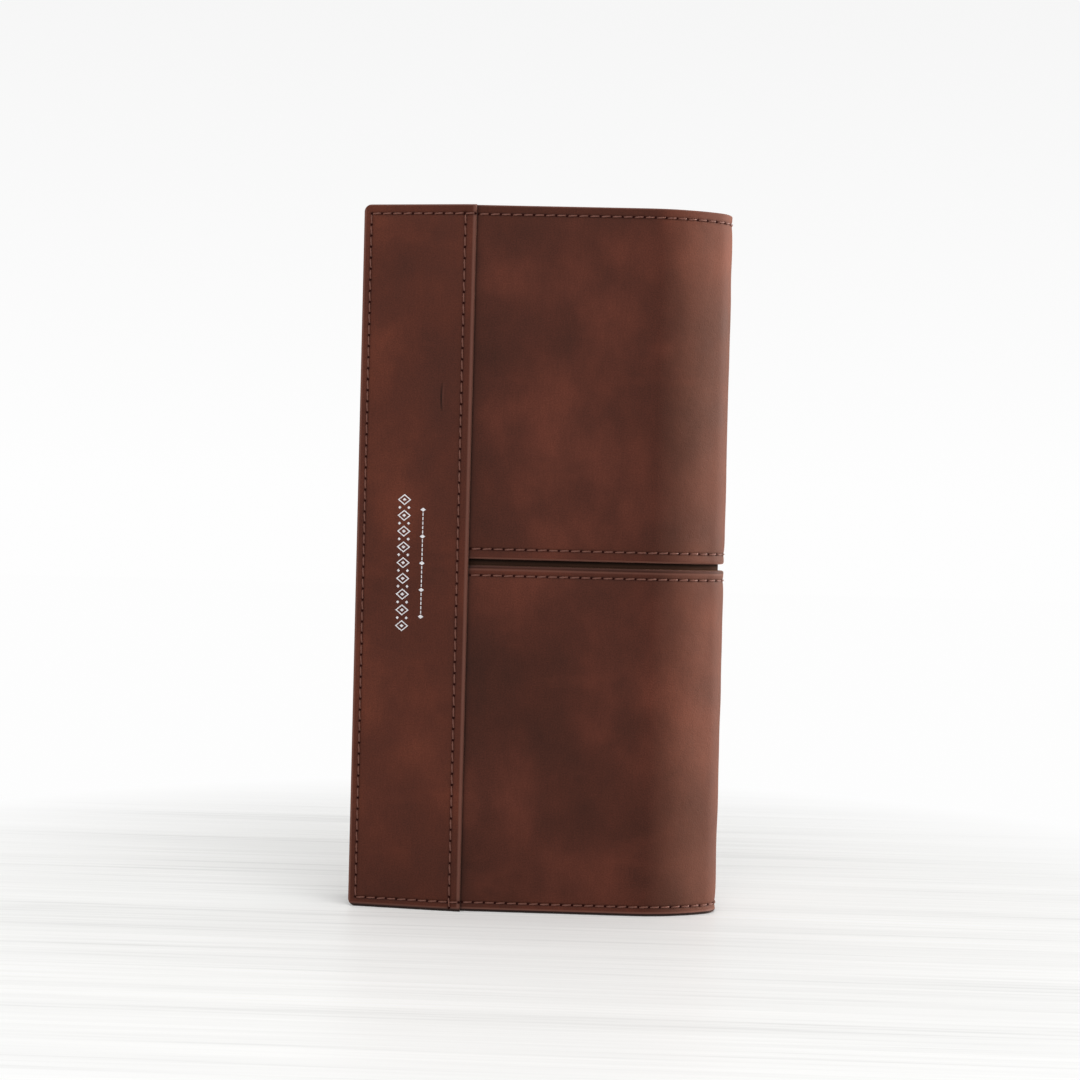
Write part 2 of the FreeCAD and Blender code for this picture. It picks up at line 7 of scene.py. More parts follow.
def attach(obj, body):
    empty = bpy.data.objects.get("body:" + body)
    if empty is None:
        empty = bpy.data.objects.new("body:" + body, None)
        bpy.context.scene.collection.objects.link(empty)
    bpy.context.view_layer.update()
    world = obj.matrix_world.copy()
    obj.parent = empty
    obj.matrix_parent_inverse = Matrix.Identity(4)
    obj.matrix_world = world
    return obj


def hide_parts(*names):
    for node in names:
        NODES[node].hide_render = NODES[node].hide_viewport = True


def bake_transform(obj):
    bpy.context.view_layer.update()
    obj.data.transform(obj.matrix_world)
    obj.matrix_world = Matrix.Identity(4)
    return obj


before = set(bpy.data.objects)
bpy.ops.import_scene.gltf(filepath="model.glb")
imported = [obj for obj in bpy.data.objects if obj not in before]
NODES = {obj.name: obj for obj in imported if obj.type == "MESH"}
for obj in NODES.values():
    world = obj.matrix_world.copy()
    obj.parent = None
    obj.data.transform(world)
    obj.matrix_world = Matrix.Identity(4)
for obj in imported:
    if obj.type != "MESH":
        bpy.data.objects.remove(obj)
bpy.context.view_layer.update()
scene = bpy.context.scene

# ---- sizes in mm, as in the CAD source
# Each cover sheet follows one line round the wallet: s runs along the line, z up the sheet, and depth goes
# inward from the outer face of the panels. The front half is made, and the back half is its mirror image.
HEIGHT, WIDTH, HALF_DEPTH = 190.0, 100.0, 12.8
STRIP_T, PANEL_T, BACKING_T, LINING_T = 1.0, 1.6, 0.5, 0.4
STRIP_WIDTH, STRIP_CORNER_R, PANEL_TUCK = 30.6, 2.0, 5.0
LOW_TOP, HIGH_BOTTOM = 93.25, 94.95
END_SEAM, SLOT_SEAM, FREE_SEAM, INNER_SEAM = 2.5, 2.7, 2.1, 2.9
PITCH = 3.0
SLOPE = math.radians(8.8)
SHOULDER, SHOULDER_R = math.radians(35.0), 36.0
SPINE_R = (HALF_DEPTH - SHOULDER_R * (1 - math.cos(SHOULDER))) / math.cos(SHOULDER)
SPINE_RUN = SHOULDER_R * math.sin(SHOULDER) + SPINE_R * (1 - math.sin(SHOULDER))
EDGE_RUN, BEND_R = 27.0, 30.0
INNER_D = PANEL_T + BACKING_T + LINING_T


# ---- lines that sheets follow
class Track:
    """A line in plan made of straight stretches and arcs, each given as (length, radius or None)."""

    def __init__(self, x, y, heading, stretches):
        self.rows, s = [], 0.0
        for length, radius in stretches:
            self.rows.append((s, x, y, heading, radius))
            x, y, heading = self.step(x, y, heading, np.array(length), radius)
            s += length
        self.length = s

    @staticmethod
    def step(x, y, h, length, radius):
        if radius is None:
            return x + length * np.cos(h), y + length * np.sin(h), h + 0 * length
        g = h + length / radius
        return x + radius * (np.sin(g) - np.sin(h)), y - radius * (np.cos(g) - np.cos(h)), g

    def at(self, s, d):
        """x, y in mm of points s along the line and d to its left."""
        s, d = np.broadcast_arrays(np.asarray(s, float), np.asarray(d, float))
        x, y = np.zeros(s.shape), np.zeros(s.shape)
        for i, (s0, x0, y0, h0, radius) in enumerate(self.rows):
            after = self.rows[i + 1][0] if i + 1 < len(self.rows) else math.inf
            pick = (s >= (s0 if i else -math.inf)) & (s < after)
            a, b, h = self.step(x0, y0, h0, s[pick] - s0, radius)
            x[pick], y[pick] = a - d[pick] * np.sin(h), b + d[pick] * np.cos(h)
        return x, y


start_x = -WIDTH / 2 + STRIP_T * math.sin(SLOPE)
bend_end_x = start_x + EDGE_RUN * math.cos(SLOPE) + BEND_R * math.sin(SLOPE)
start_y = -HALF_DEPTH + EDGE_RUN * math.sin(SLOPE) + BEND_R * (1 - math.cos(SLOPE))
flat_run = WIDTH / 2 - SPINE_RUN - bend_end_x
half_line = [(EDGE_RUN, None), (BEND_R * SLOPE, BEND_R), (flat_run, None),
             (SHOULDER_R * SHOULDER, SHOULDER_R), (SPINE_R * (math.pi / 2 - SHOULDER), SPINE_R)]
COVER = Track(start_x, start_y, -SLOPE, half_line + half_line[::-1])
MID = COVER.length / 2
STRIP_END = STRIP_WIDTH / math.cos(SLOPE)
PANEL_START = STRIP_END - PANEL_TUCK
TURN_START = MID - SHOULDER_R * SHOULDER - SPINE_R * (math.pi / 2 - SHOULDER)


def s_at(x):
    """How far along the front half of the cover line a given x lies."""
    lo, hi = 0.0, COVER.length / 2
    for _ in range(50):
        mid = (lo + hi) / 2
        lo, hi = (mid, hi) if COVER.at(mid, 0.0)[0] < x else (lo, mid)
    return lo


# The coin leaf: a short slope, a knee, a flat wall and a round fold
LEAF_X, LEAF_FORE, LEAF_HALF, FOLD_X, LEAF_T = -41.0, 2.3, 4.0, 32.0, 0.9
KNEE_R = 25.0
slope_run = (LEAF_HALF - LEAF_FORE) / math.sin(SLOPE) - 2.0
leaf_half = [(slope_run, None), (KNEE_R * SLOPE, KNEE_R)]
probe = Track(LEAF_X, -LEAF_FORE, -SLOPE, leaf_half + [(1.0, None)])
LEAF_HALF = -float(probe.at(probe.length, 0.0)[1])
leaf_half.append((FOLD_X - float(probe.at(probe.length - 1.0, 0.0)[0]), None))
leaf_fold = [(math.pi * LEAF_HALF / 2, LEAF_HALF)]
LEAF = Track(LEAF_X, -LEAF_FORE, -SLOPE, leaf_half + leaf_fold + leaf_fold + leaf_half[::-1])


# ---- soft shape variation
def bell(x, width):
    """One at x = 0, and falling away to both sides."""
    return np.exp(-(x / width) ** 2)


TURN = 2 * math.pi
rng = np.random.default_rng(7)
WAVES = [(rng.uniform(0.02, 0.11), rng.uniform(0, TURN), rng.uniform(0, TURN)) for _ in range(14)]


def ripple(s, z, amount):
    """A gentle hand-made unevenness, the same on every run."""
    total = 0
    for freq, angle, phase in WAVES:
        across = s * math.cos(angle) + z * math.sin(angle)
        total = total + np.sin(freq * TURN * across + phase) / (1 + 8 * freq)
    return amount * total / 4


ROUND_STEPS = (0.0, 0.05, 0.18, 0.4, 0.7, 1.0, 1.5, 2.2)
CLOSEST = 0.018


def values(lo, hi, step, edges=(0.0, 0.0), fine=()):
    """Grid lines: an even step, closer lines at rounded ends, and closer lines about given places."""
    out = set(np.round(np.linspace(lo, hi, max(2, int(round((hi - lo) / step)) + 1)), 4))
    for r, end, way in ((edges[0], lo, 1), (edges[1], hi, -1)):
        if r > 0:
            out |= {round(end + way * r * f, 4) for f in ROUND_STEPS}
    for at, half, tight in fine:
        out |= {round(v, 4) for v in np.arange(max(lo, at - half), min(hi, at + half) + 1e-6, tight)}
    out = sorted(out)
    keep = [out[0]]
    for v in out[1:]:
        if v - keep[-1] > CLOSEST:
            keep.append(v)
    keep[-1] = hi
    return np.array(keep)


FAR, SEAM_REACH = 99.0, 6.0


def seam_distance(s, z, seam):
    """Distance from each point to a seam's line and to its nearest needle hole."""
    p = np.array(seam)
    flat = np.stack([np.ravel(s), np.ravel(z)], 1)
    lo, hi = p.min(0) - SEAM_REACH, p.max(0) + SEAM_REACH
    near = np.all((flat > lo) & (flat < hi), axis=1)
    line, hole = np.full(len(flat), FAR), np.full(len(flat), FAR)
    q = flat[near]
    if len(q):
        best, nearest = np.full(len(q), FAR), np.full(len(q), FAR)
        for a, b in zip(p[:-1], p[1:]):
            ab = b - a
            t = np.clip(((q - a) @ ab) / max(ab @ ab, 1e-9), 0, 1)
            best = np.minimum(best, np.linalg.norm(q - a - t[:, None] * ab, axis=1))
            nearest = np.minimum(nearest, np.linalg.norm(q - a, axis=1))
        nearest = np.minimum(nearest, np.linalg.norm(q - p[-1], axis=1))
        line[near], hole[near] = best, nearest
    return line.reshape(np.shape(s)), hole.reshape(np.shape(s))


def run(a, b, pitch=PITCH):
    """Needle holes from a to b, evenly spaced."""
    a, b = np.array(a, float), np.array(b, float)
    n = max(1, int(round(np.linalg.norm(b - a) / pitch)))
    return [tuple(a + (b - a) * i / n) for i in range(n + 1)]


# ---- meshes
def grid_quads(grid):
    """One quad for each cell of a grid of vertex numbers."""
    return np.stack([grid[:-1, :-1], grid[1:, :-1], grid[1:, 1:], grid[:-1, 1:]], -1).reshape(-1, 4)


def grid_rim(grid):
    """The vertex numbers round the outside of a grid, in order."""
    return list(grid[:, 0]) + list(grid[-1, 1:]) + list(grid[-2::-1, -1]) + list(grid[0, -2:0:-1])


def points_of(x, y, z):
    return np.stack([x, y, z], -1).reshape(-1, 3)


def stand_for(obj, slot=None, *nodes):
    """A piece stands for its CAD nodes, which are hidden; the slot is not used."""
    if nodes:
        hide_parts(*nodes)


def settle(obj, body, *claim):
    """A finished piece rides on its body; claim is its slot, which is not used, and then its CAD nodes."""
    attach(obj, body)
    stand_for(obj, *claim)


UV_PER_MM = 0.01
FOOT_SHADE, FOOT_HEIGHT = 0.96, 0.9
PULL = 0.16
SEAM_DIP = PULL * 1.6


class Maker:
    """Collects vertices, faces and per-vertex marks for one piece."""

    def __init__(self):
        self.v, self.f, self.uv, self.edge, self.seam = [], [], [], [], []

    def add(self, xyz, faces, uv=None, edge=None, seam=None, turned=False):
        n = len(self.v)
        xyz = np.asarray(xyz, float).reshape(-1, 3)
        self.v.extend(map(tuple, xyz * 0.001))
        self.f.extend(tuple(int(i) + n for i in (f[::-1] if turned else f)) for f in faces)
        zero = np.zeros(len(xyz))
        uv = np.asarray(xyz[:, [0, 2]] if uv is None else uv, float).reshape(-1, 2)
        self.uv.extend(map(tuple, uv * UV_PER_MM))
        self.edge.extend(np.ravel(edge if edge is not None else zero))
        self.seam.extend(np.ravel(seam if seam is not None else zero))

    def build(self, name, material, flip=False, smooth=True):
        """The finished object; flip makes the mirror image for the back half."""
        v = [(x, -y, z) for x, y, z in self.v] if flip else self.v
        f = [t[::-1] for t in self.f] if flip else self.f
        mesh = bpy.data.meshes.new(name)
        mesh.from_pydata(v, [], f)
        mesh.materials.append(material)
        layer = mesh.uv_layers.new(name="UVMap")
        index = np.zeros(len(mesh.loops), np.int32)
        mesh.loops.foreach_get("vertex_index", index)
        uv = np.array(self.uv, np.float32)
        if flip:
            uv[:, 0] = 2 * MID * UV_PER_MM - uv[:, 0]
        layer.data.foreach_set("uv", uv[index].ravel())
        # edge: edge paint, and in places a painted highlight; seam: painted shade in holes, grooves, creases,
        # folds, the slot, beside the strip and along the foot, and pressed lines
        for key, data in (("edge", self.edge), ("seam", self.seam)):
            mesh.attributes.new(key, "FLOAT", "POINT").data.foreach_set("value", np.array(data, np.float32))
        mesh.polygons.foreach_set("use_smooth", [smooth] * len(mesh.polygons))
        mesh.validate()
        mesh.update()
        obj = bpy.data.objects.new(name, mesh)
        scene.collection.objects.link(obj)
        return obj


def slab(maker, faces, shape, uv, turned, rim_turned, seam=None):
    """Two like faces and the wall round their rim."""
    grid = np.arange(len(uv)).reshape(shape)
    quads = grid_quads(grid)
    for points, turn in zip(faces, (turned, not turned)):
        maker.add(points, quads, uv, seam=seam, turned=turn)
    rim, n = grid_rim(grid), len(uv)
    for a, b in zip(rim, rim[1:] + rim[:1]):
        quad = (int(a), int(b), int(b + n), int(a + n))
        maker.f.append(quad[::-1] if rim_turned else quad)


def rounding(gap, r):
    """How far a round of radius r has fallen at a distance from the edge."""
    return np.where(gap < r, r - np.sqrt(np.maximum(r ** 2 - (r - np.maximum(gap, 0)) ** 2, 0)), 0)


def seam_marks(s, z, seams, pull, hole_dip):
    """How deep the seams pull a sheet in, and the painted shade in their needle holes and along their groove.
    """
    depth, mark = np.zeros_like(s), np.zeros_like(s)
    for seam in seams:
        line, hole = seam_distance(s, z, seam)
        depth += pull * (0.6 * bell(line, 0.6) + bell(line, 2.0))
        depth += hole_dip * bell(hole, 0.45)
        mark = np.maximum(mark, bell(hole, 0.36) + 0.20 * bell(line, 0.5))
    return depth, mark


def plate(maker, track, sv, zv, top, bottom, radius=0.4, corners=(0, 0, 0, 0), seams=(), paint=(0, 0, 0, 0),
          open_end=False, pull=PULL, uneven=0.0, extra=None, windows=(), hole_dip=0.16, soft=None):
    """A sheet of leather on a track, with rounded edges.
    top, bottom: depth of the seen face and of the back. open_end: another sheet goes on from s1.
    corners: radii at (s0, z0), (s1, z0), (s1, z1), (s0, z1). paint: width of edge paint at s0, s1, z0, z1.
    extra(s, z): more depth, shade and light. soft: edge radii at s0, s1, z0, z1, when they differ.
    windows: (s0, s1, z0, z1) openings, on grid lines."""
    sign = 1.0 if bottom > top else -1.0
    s, z = np.meshgrid(sv, zv, indexing="ij")
    s0, s1, z0, z1 = sv[0], sv[-1], zv[0], zv[-1]
    places = ((s0, z0, 1, 1), (s1, z0, -1, 1), (s1, z1, -1, -1), (s0, z1, 1, -1))
    rounds = [(*place, r) for place, r in zip(places, corners) if r > 0]
    for cs, cz, ds, dz, r in rounds:
        a, b = r - (s - cs) * ds, r - (z - cz) * dz
        pick = (a > 0) & (b > 0)
        u, w = np.where(pick, a / r, 0), np.where(pick, b / r, 0)
        s = np.where(pick, cs + ds * (r - r * u * np.sqrt(1 - w * w / 2)), s)
        z = np.where(pick, cz + dz * (r - r * w * np.sqrt(1 - u * u / 2)), z)
    gap = np.stack([s - s0, np.full_like(s, FAR) if open_end else s1 - s, z - z0, z1 - z])
    nearest = gap.min(0)
    for cs, cz, ds, dz, r in rounds:
        a, b = r - (s - cs) * ds, r - (z - cz) * dz
        nearest = np.where((a > 0) & (b > 0), r - np.hypot(a, b), nearest)
    nearest = np.maximum(nearest, 0)
    depth = rounding(nearest, radius)
    if soft:
        depth = np.max([rounding(g, r) for g, r in zip(gap, soft)], axis=0)
    dip, mark = seam_marks(s, z, seams, pull, hole_dip)
    depth = depth + dip
    if uneven:
        depth += np.clip(ripple(s, z, uneven), -uneven, uneven) * np.clip(nearest / 4, 0, 1)
    edge = np.zeros_like(s)
    # extra gives more depth, painted shade, and painted highlight that is drawn through the edge paint mark
    if extra is not None:
        more, shade, light = extra(s, z)
        depth += more
        mark = np.maximum(mark, shade)
        edge = edge + light
    mark = np.maximum(mark, FOOT_SHADE * np.clip((FOOT_HEIGHT - z) / 0.25, 0, 1))
    for g, width in zip(gap, paint):
        if width > 0:
            edge = np.maximum(edge, 1 - np.clip((g - width * 0.85) / (width * 0.25), 0, 1))
            depth -= 0.07 * bell(g - width * 0.5, width * 0.4)
    x, y = track.at(s, top + sign * depth)
    turned, points, marks = sign < 0, points_of(x, y, z), (edge, mark)
    if windows:
        add_windowed(maker, track, (sv, zv), (s, z), points, bottom, marks, turned, windows)
    else:
        floor = bottom - sign * 0.05
        add_backed(maker, track, (s, z), points, floor, marks, open_end, turned, max(paint) > 0)


def add_windowed(maker, track, lines, sheet, points, bottom, marks, turned, windows):
    """A sheet with openings: its face, its back and a wall round every opening."""
    (sv, zv), (s, z), (edge, mark) = lines, sheet, marks
    mid_s, mid_z = (sv[:-1, None] + sv[1:, None]) / 2, (zv[None, :-1] + zv[None, 1:]) / 2
    solid = np.ones((len(sv) - 1, len(zv) - 1), bool)
    for a, b, c, d in windows:
        solid &= ~((mid_s > a) & (mid_s < b) & (mid_z > c) & (mid_z < d))
    keep = grid_quads(np.arange(s.size).reshape(s.shape))[solid.ravel()][:, ::-1 if turned else 1]
    x, y = track.at(s, bottom)
    n = s.size
    faces = [tuple(q) for q in keep] + [tuple(q[::-1] + n) for q in keep]
    sides = {(q[k], q[(k + 1) % 4]) for q in keep.tolist() for k in range(4)}
    faces += [(b, a, a + n, b + n) for a, b in sorted(sides) if (b, a) not in sides]
    uv = np.stack([np.append(s, s), np.append(z, z)], 1)
    maker.add(np.concatenate([points, points_of(x, y, z)]), faces, uv, np.append(edge, edge),
              np.append(mark, 0 * mark))


def add_backed(maker, track, sheet, points, floor, marks, open_end, turned, painted):
    """A whole sheet: its face, walls from its rim, and a back that hangs from the walls."""
    (s, z), (edge, mark) = sheet, marks
    grid = np.arange(s.size).reshape(s.shape)
    rim = grid_rim(grid)
    rs, rz = s.ravel()[rim], z.ravel()[rim]
    x, y = track.at(rs, floor)
    n, base = len(rim), s.size
    faces = grid_quads(grid).tolist()
    open_side = set(grid[-1, :]) if open_end else set()
    for i in range(n):
        j = (i + 1) % n
        if rim[i] not in open_side or rim[j] not in open_side:
            faces.append((rim[j], rim[i], base + i, base + j))
    where = {v: base + i for i, v in enumerate(rim)}
    rows = len(grid)
    for i in range(rows - 1):
        left = grid[0, :] if i == 0 else (grid[i, 0], grid[i, -1])
        right = grid[-1, ::-1] if i == rows - 2 else (grid[i + 1, -1], grid[i + 1, 0])
        faces.append([where[v] for v in [*left, *right]])
    uv = np.stack([np.append(s, rs), np.append(z, rz)], 1)
    edge, mark = np.append(edge, np.full(n, float(painted))), np.append(mark, np.zeros(n))
    maker.add(np.concatenate([points, points_of(x, y, rz)]), faces, uv, edge, mark, turned)


# ---- seams
STRIP_UNEVEN = 0.06
THREAD_R, HOLE_R = 0.21, 0.33
RING = 8
PHI = np.arange(RING) * TURN / RING


def stitch(maker, track, a, b, top, sign, lean, radius, dip):
    """One arched stitch between two needle holes, of two plies with a slight twist."""
    a, b = np.array(a, float), np.array(b, float)
    along = (b - a) / np.linalg.norm(b - a)
    side = np.array([-along[1], along[0]])
    t = np.array([0.10, 0.16, 0.26, 0.4, 0.6, 0.74, 0.84, 0.90])
    girth = radius * np.array([0.55, 0.82, 0.98, 1.0, 1.0, 0.98, 0.82, 0.55])
    centre = a + np.outer(t, b - a) + np.outer((t - 0.5) * 2 * lean, side)
    rise = -0.20 + 0.40 * np.sin(math.pi * np.clip((t - 0.02) / 0.96, 0, 1)) ** 0.55
    pts, uv = [], []
    for k in range(len(t)):
        ply = 1 + 0.16 * np.cos(2 * (PHI - t[k] * 7.5))
        up = girth[k] * ply * np.sin(PHI) * 0.85 + rise[k]
        sz = centre[k] + np.outer(girth[k] * ply * np.cos(PHI), side)
        x, y = track.at(sz[:, 0], top + sign * (dip - up))
        pts.append(points_of(x, y, sz[:, 1]))
        uv.append(np.stack([np.full(RING, t[k] * 30), PHI], 1))
    faces = []
    for k in range(0, (len(t) - 1) * RING, RING):
        for i in range(RING):
            j = (i + 1) % RING
            faces.append((k + i, k + j, k + RING + j, k + RING + i))
    last = (len(t) - 1) * RING
    faces += [tuple(range(RING))[::-1], tuple(range(last, last + RING))]
    maker.add(np.concatenate(pts), faces, np.concatenate(uv), turned=sign < 0)


def needle_hole(maker, track, at, top, sign, radius, dip):
    """A disc of painted shadow in the mouth of one needle hole, slightly hollow."""
    pts = []
    for r, lift in ((radius, 0.0), (radius * 0.6, 0.035)):
        x, y = track.at(at[0] + r * np.cos(PHI), top + sign * (dip + 0.02 - lift))
        pts.append(points_of(x, y, at[1] + r * np.sin(PHI)))
    x, y = track.at(np.array([at[0]]), top + sign * (dip + 0.02 - 0.05))
    pts.append(np.array([[x[0], y[0], at[1]]]))
    faces = []
    for i in range(RING):
        j = (i + 1) % RING
        faces += [(i, j, RING + j, RING + i), (RING + i, RING + j, 2 * RING)]
    maker.add(np.concatenate(pts), faces, turned=sign < 0)


def sew(thread, holes, track, seams, top, sign, radius=THREAD_R, dip=SEAM_DIP):
    """Stitches and needle holes along seams; each stitch leans a little differently."""
    for seam in seams:
        for i, (a, b) in enumerate(zip(seam[:-1], seam[1:])):
            stitch(thread, track, a, b, top, sign, 0.10 * (1.0 + 0.5 * math.sin(i * 2.4)), radius, dip)
        for p in seam:
            needle_hole(holes, track, p, top, sign, HOLE_R * radius / THREAD_R, dip)


# ---- materials
def linear(rgb):
    """A screen colour, 0 to 255, as linear light."""
    return tuple(c / 12.92 if c <= 0.04045 else ((c + 0.055) / 1.055) ** 2.4 for c in (v / 255 for v in rgb))


def toned(rgb, part):
    return linear(tuple(c * part for c in rgb))


def add_ramp(tree, value, stops):
    """A colour ramp; each stop is a place and a colour or grey level."""
    n = tree.nodes.new("ShaderNodeValToRGB")
    n.color_ramp.elements.remove(n.color_ramp.elements[1])
    for i, (at, colour) in enumerate(stops):
        e = n.color_ramp.elements[0] if i == 0 else n.color_ramp.elements.new(at)
        e.position = at
        e.color = (*(colour if isinstance(colour, tuple) else (colour,) * 3), 1)
    tree.links.new(value, n.inputs[0])
    return n.outputs[0]


class Graph:
    """One material's nodes. Its texture space, at, is the frame's own, or runs along and up the sheet."""

    def __init__(self, name, on_sheet=False):
        self.material = bpy.data.materials.new(name)
        self.material.use_nodes = True
        self.tree = self.material.node_tree
        self.shader = self.tree.nodes["Principled BSDF"]
        spaces = self.node("ShaderNodeTexCoord").outputs
        self.at = self.stretch(spaces["UV"], (0.1, 0.1, 0.1)) if on_sheet else spaces["Object"]

    def node(self, kind, **settings):
        n = self.tree.nodes.new(kind)
        for key, value in settings.items():
            if hasattr(n, key):
                setattr(n, key, value)
            else:
                n.inputs[key.replace("_", " ")].default_value = value
        return n

    def link(self, a, b):
        self.tree.links.new(a, b)

    def feed(self, value, slot):
        """An input takes a link, a number or a colour."""
        if hasattr(value, "links"):
            self.link(value, slot)
        else:
            slot.default_value = (*value, 1) if isinstance(value, tuple) else value

    def noise(self, vector, scale, detail=3.0, rough=0.55):
        n = self.node("ShaderNodeTexNoise", Scale=scale, Detail=detail, Roughness=rough)
        self.link(vector, n.inputs["Vector"])
        return n.outputs[0]

    def stretch(self, vector, scale, turn=0.0):
        n = self.node("ShaderNodeMapping", Rotation=(0, 0, turn), Scale=scale)
        self.link(vector, n.inputs["Vector"])
        return n.outputs[0]

    def ramp(self, value, stops):
        return add_ramp(self.tree, value, stops)

    def mix(self, factor, a, b, kind="MIX"):
        n = self.node("ShaderNodeMix", data_type="RGBA", blend_type=kind)
        for value, slot in ((factor, 0), (a, 6), (b, 7)):
            self.feed(value, n.inputs[slot])
        return n.outputs[2]

    def math(self, kind, a, b=0.0):
        n = self.node("ShaderNodeMath", operation=kind)
        for value, slot in zip((a, b), n.inputs):
            self.feed(value, slot)
        return n.outputs[0]

    def times(self, a, b):
        return self.math("MULTIPLY", a, b)

    def plus(self, a, b):
        return self.math("ADD", a, b)

    def attribute(self, name):
        return self.node("ShaderNodeAttribute", attribute_name=name).outputs["Fac"]

    def bump(self, height, strength, distance, under=None):
        n = self.node("ShaderNodeBump", Strength=strength, Distance=distance)
        self.link(height, n.inputs["Height"])
        if under is not None:
            self.link(under, n.inputs["Normal"])
        return n.outputs[0]

    def set(self, **values):
        for key, value in values.items():
            self.feed(value, self.shader.inputs[key.replace("_", " ")])


EDGE_PAINT = (104, 66, 55)
# colour of the painted highlight round the spine
SPINE_PAINTED_HIGHLIGHT = (127, 83, 67)


def nubuck(name, light, mid, deep, rough=0.70, sheen=0.10, grain=1.0, bend=1.0):
    """Oiled nubuck: soft cloudy shading, a short nap, faint up-and-down brushing and painted edges.
    bend: how strong the painted highlight is where the leather turns round the spine."""
    g = Graph(name, on_sheet=True)
    clouds = g.noise(g.at, 25.0, 1.5, 0.45)
    patches = g.noise(g.stretch(g.at, (1.15, 0.85, 1.0)), 64.0, 2.5, 0.55)
    blend = g.plus(g.times(clouds, 0.6), g.times(patches, 0.4))
    colour = g.ramp(blend, [(0.34, linear(deep)), (0.5, linear(mid)), (0.66, linear(light))])
    brush = g.noise(g.stretch(g.at, (1500, 260, 1500)), 1.0, 2.0, 0.6)
    colour = g.mix(0.13, colour, g.ramp(brush, [(0.3, 0.30), (0.7, 0.72)]), "OVERLAY")
    nap = g.noise(g.at, 2600.0, 2.0, 0.7)
    colour = g.mix(0.34, colour, g.ramp(nap, [(0.35, 0.25), (0.65, 0.75)]), "OVERLAY")
    # lighter diagonal streaks
    lighter_streaks = g.noise(g.stretch(g.at, (34, 80, 34), -0.65), 1.0, 4.0, 0.6)
    lighter_streaks = g.ramp(lighter_streaks, [(0.56, 0), (0.78, 1)])
    colour = g.mix(g.times(lighter_streaks, 0.16), colour, toned(light, 1.3))
    # painted highlight: the leather is made lighter round the spine, where it turns toward the side light;
    # measured from the middle of the spine, 25 mm to the ramp's end
    split = g.node("ShaderNodeSeparateXYZ")
    g.link(g.at, split.inputs[0])
    off = g.math("ABSOLUTE", g.plus(split.outputs["X"], -MID * 0.001))
    pull = g.ramp(g.times(off, 40.0),
                  [(0.0, 0.35), (0.14, 0.66), (0.45, 0.66), (0.70, 0.48), (0.86, 0.26), (1.0, 0)])
    pull = g.times(pull, g.plus(g.times(patches, 0.42), 0.22 * bend))
    colour = g.mix(pull, colour, linear(SPINE_PAINTED_HIGHLIGHT))
    # edge paint, with painted highlights in places; the seam mark darkens with painted shade in holes,
    # grooves, creases, beside the strip and along the foot, and pressed lines
    edge, seam = g.attribute("edge"), g.attribute("seam")
    colour = g.mix(g.times(edge, 0.85), colour, linear(EDGE_PAINT))
    g.set(Base_Color=g.mix(g.math("MINIMUM", seam, 0.92), colour, toned(deep, 0.30)))
    wear = g.plus(g.times(patches, 0.16), rough - 0.08)
    g.set(Roughness=g.math("SUBTRACT", wear, g.times(edge, 0.14)))
    facing = g.node("ShaderNodeLayerWeight").outputs["Facing"]
    g.set(Sheen_Weight=g.times(g.math("POWER", facing, 2.2), sheen * 3.2))
    g.set(Specular_IOR_Level=0.15, Sheen_Roughness=0.35, Sheen_Tint=linear((232, 178, 152)))
    pores = g.node("ShaderNodeTexVoronoi", feature="DISTANCE_TO_EDGE", Scale=1500.0)
    g.link(g.at, pores.inputs["Vector"])
    normal = g.bump(g.noise(g.at, 420.0, 3.0, 0.6), 0.20 * grain, 0.0004)
    normal = g.bump(pores.outputs[0], 0.10 * grain, 0.0002, normal)
    g.set(Normal=g.bump(nap, 0.30 * grain, 0.00012, normal))
    return g.material


def cloth(name, colour, scale=900.0, sheen=0.4, shine=0.2):
    """Plain woven cloth."""
    g = Graph(name, on_sheet=True)
    waves = []
    for axis in ("X", "Y"):
        w = g.node("ShaderNodeTexWave", bands_direction=axis, Scale=scale, Distortion=0.6, Detail_Scale=2.0)
        g.link(g.at, w.inputs["Vector"])
        waves.append(w.outputs["Fac"])
    weave = g.times(waves[0], waves[1])
    base = g.mix(weave, toned(colour, 0.6), linear(colour))
    base = g.mix(g.times(g.noise(g.at, 60.0), 0.35), base, toned(colour, 1.25))
    shade = g.math("MINIMUM", g.attribute("seam"), 0.9)
    g.set(Base_Color=g.mix(shade, base, toned(colour, 0.4)))
    g.set(Roughness=0.85, Sheen_Weight=sheen, Specular_IOR_Level=shine)
    g.set(Normal=g.bump(weave, 0.5, 0.0001))
    return g.material


def thread_material(name, colour):
    """Two-ply waxed thread."""
    g = Graph(name)
    fuzz = g.noise(g.at, 5200.0, 2.0, 0.7)
    g.set(Base_Color=g.mix(fuzz, toned(colour, 0.72), toned(colour, 1.12)))
    g.set(Roughness=0.5, Sheen_Weight=0.03, Specular_IOR_Level=0.32, Normal=g.bump(fuzz, 0.5, 0.00008))
    return g.material


# Painted shadow: a dark matte disc stands for the shade inside each needle hole.
def painted_hole_shadow(name):
    g = Graph(name)
    g.set(Base_Color=g.mix(g.noise(g.at, 3000.0), linear((28, 8, 6)), linear((46, 16, 12))), Roughness=0.9,
          Specular_IOR_Level=0.05)
    return g.material


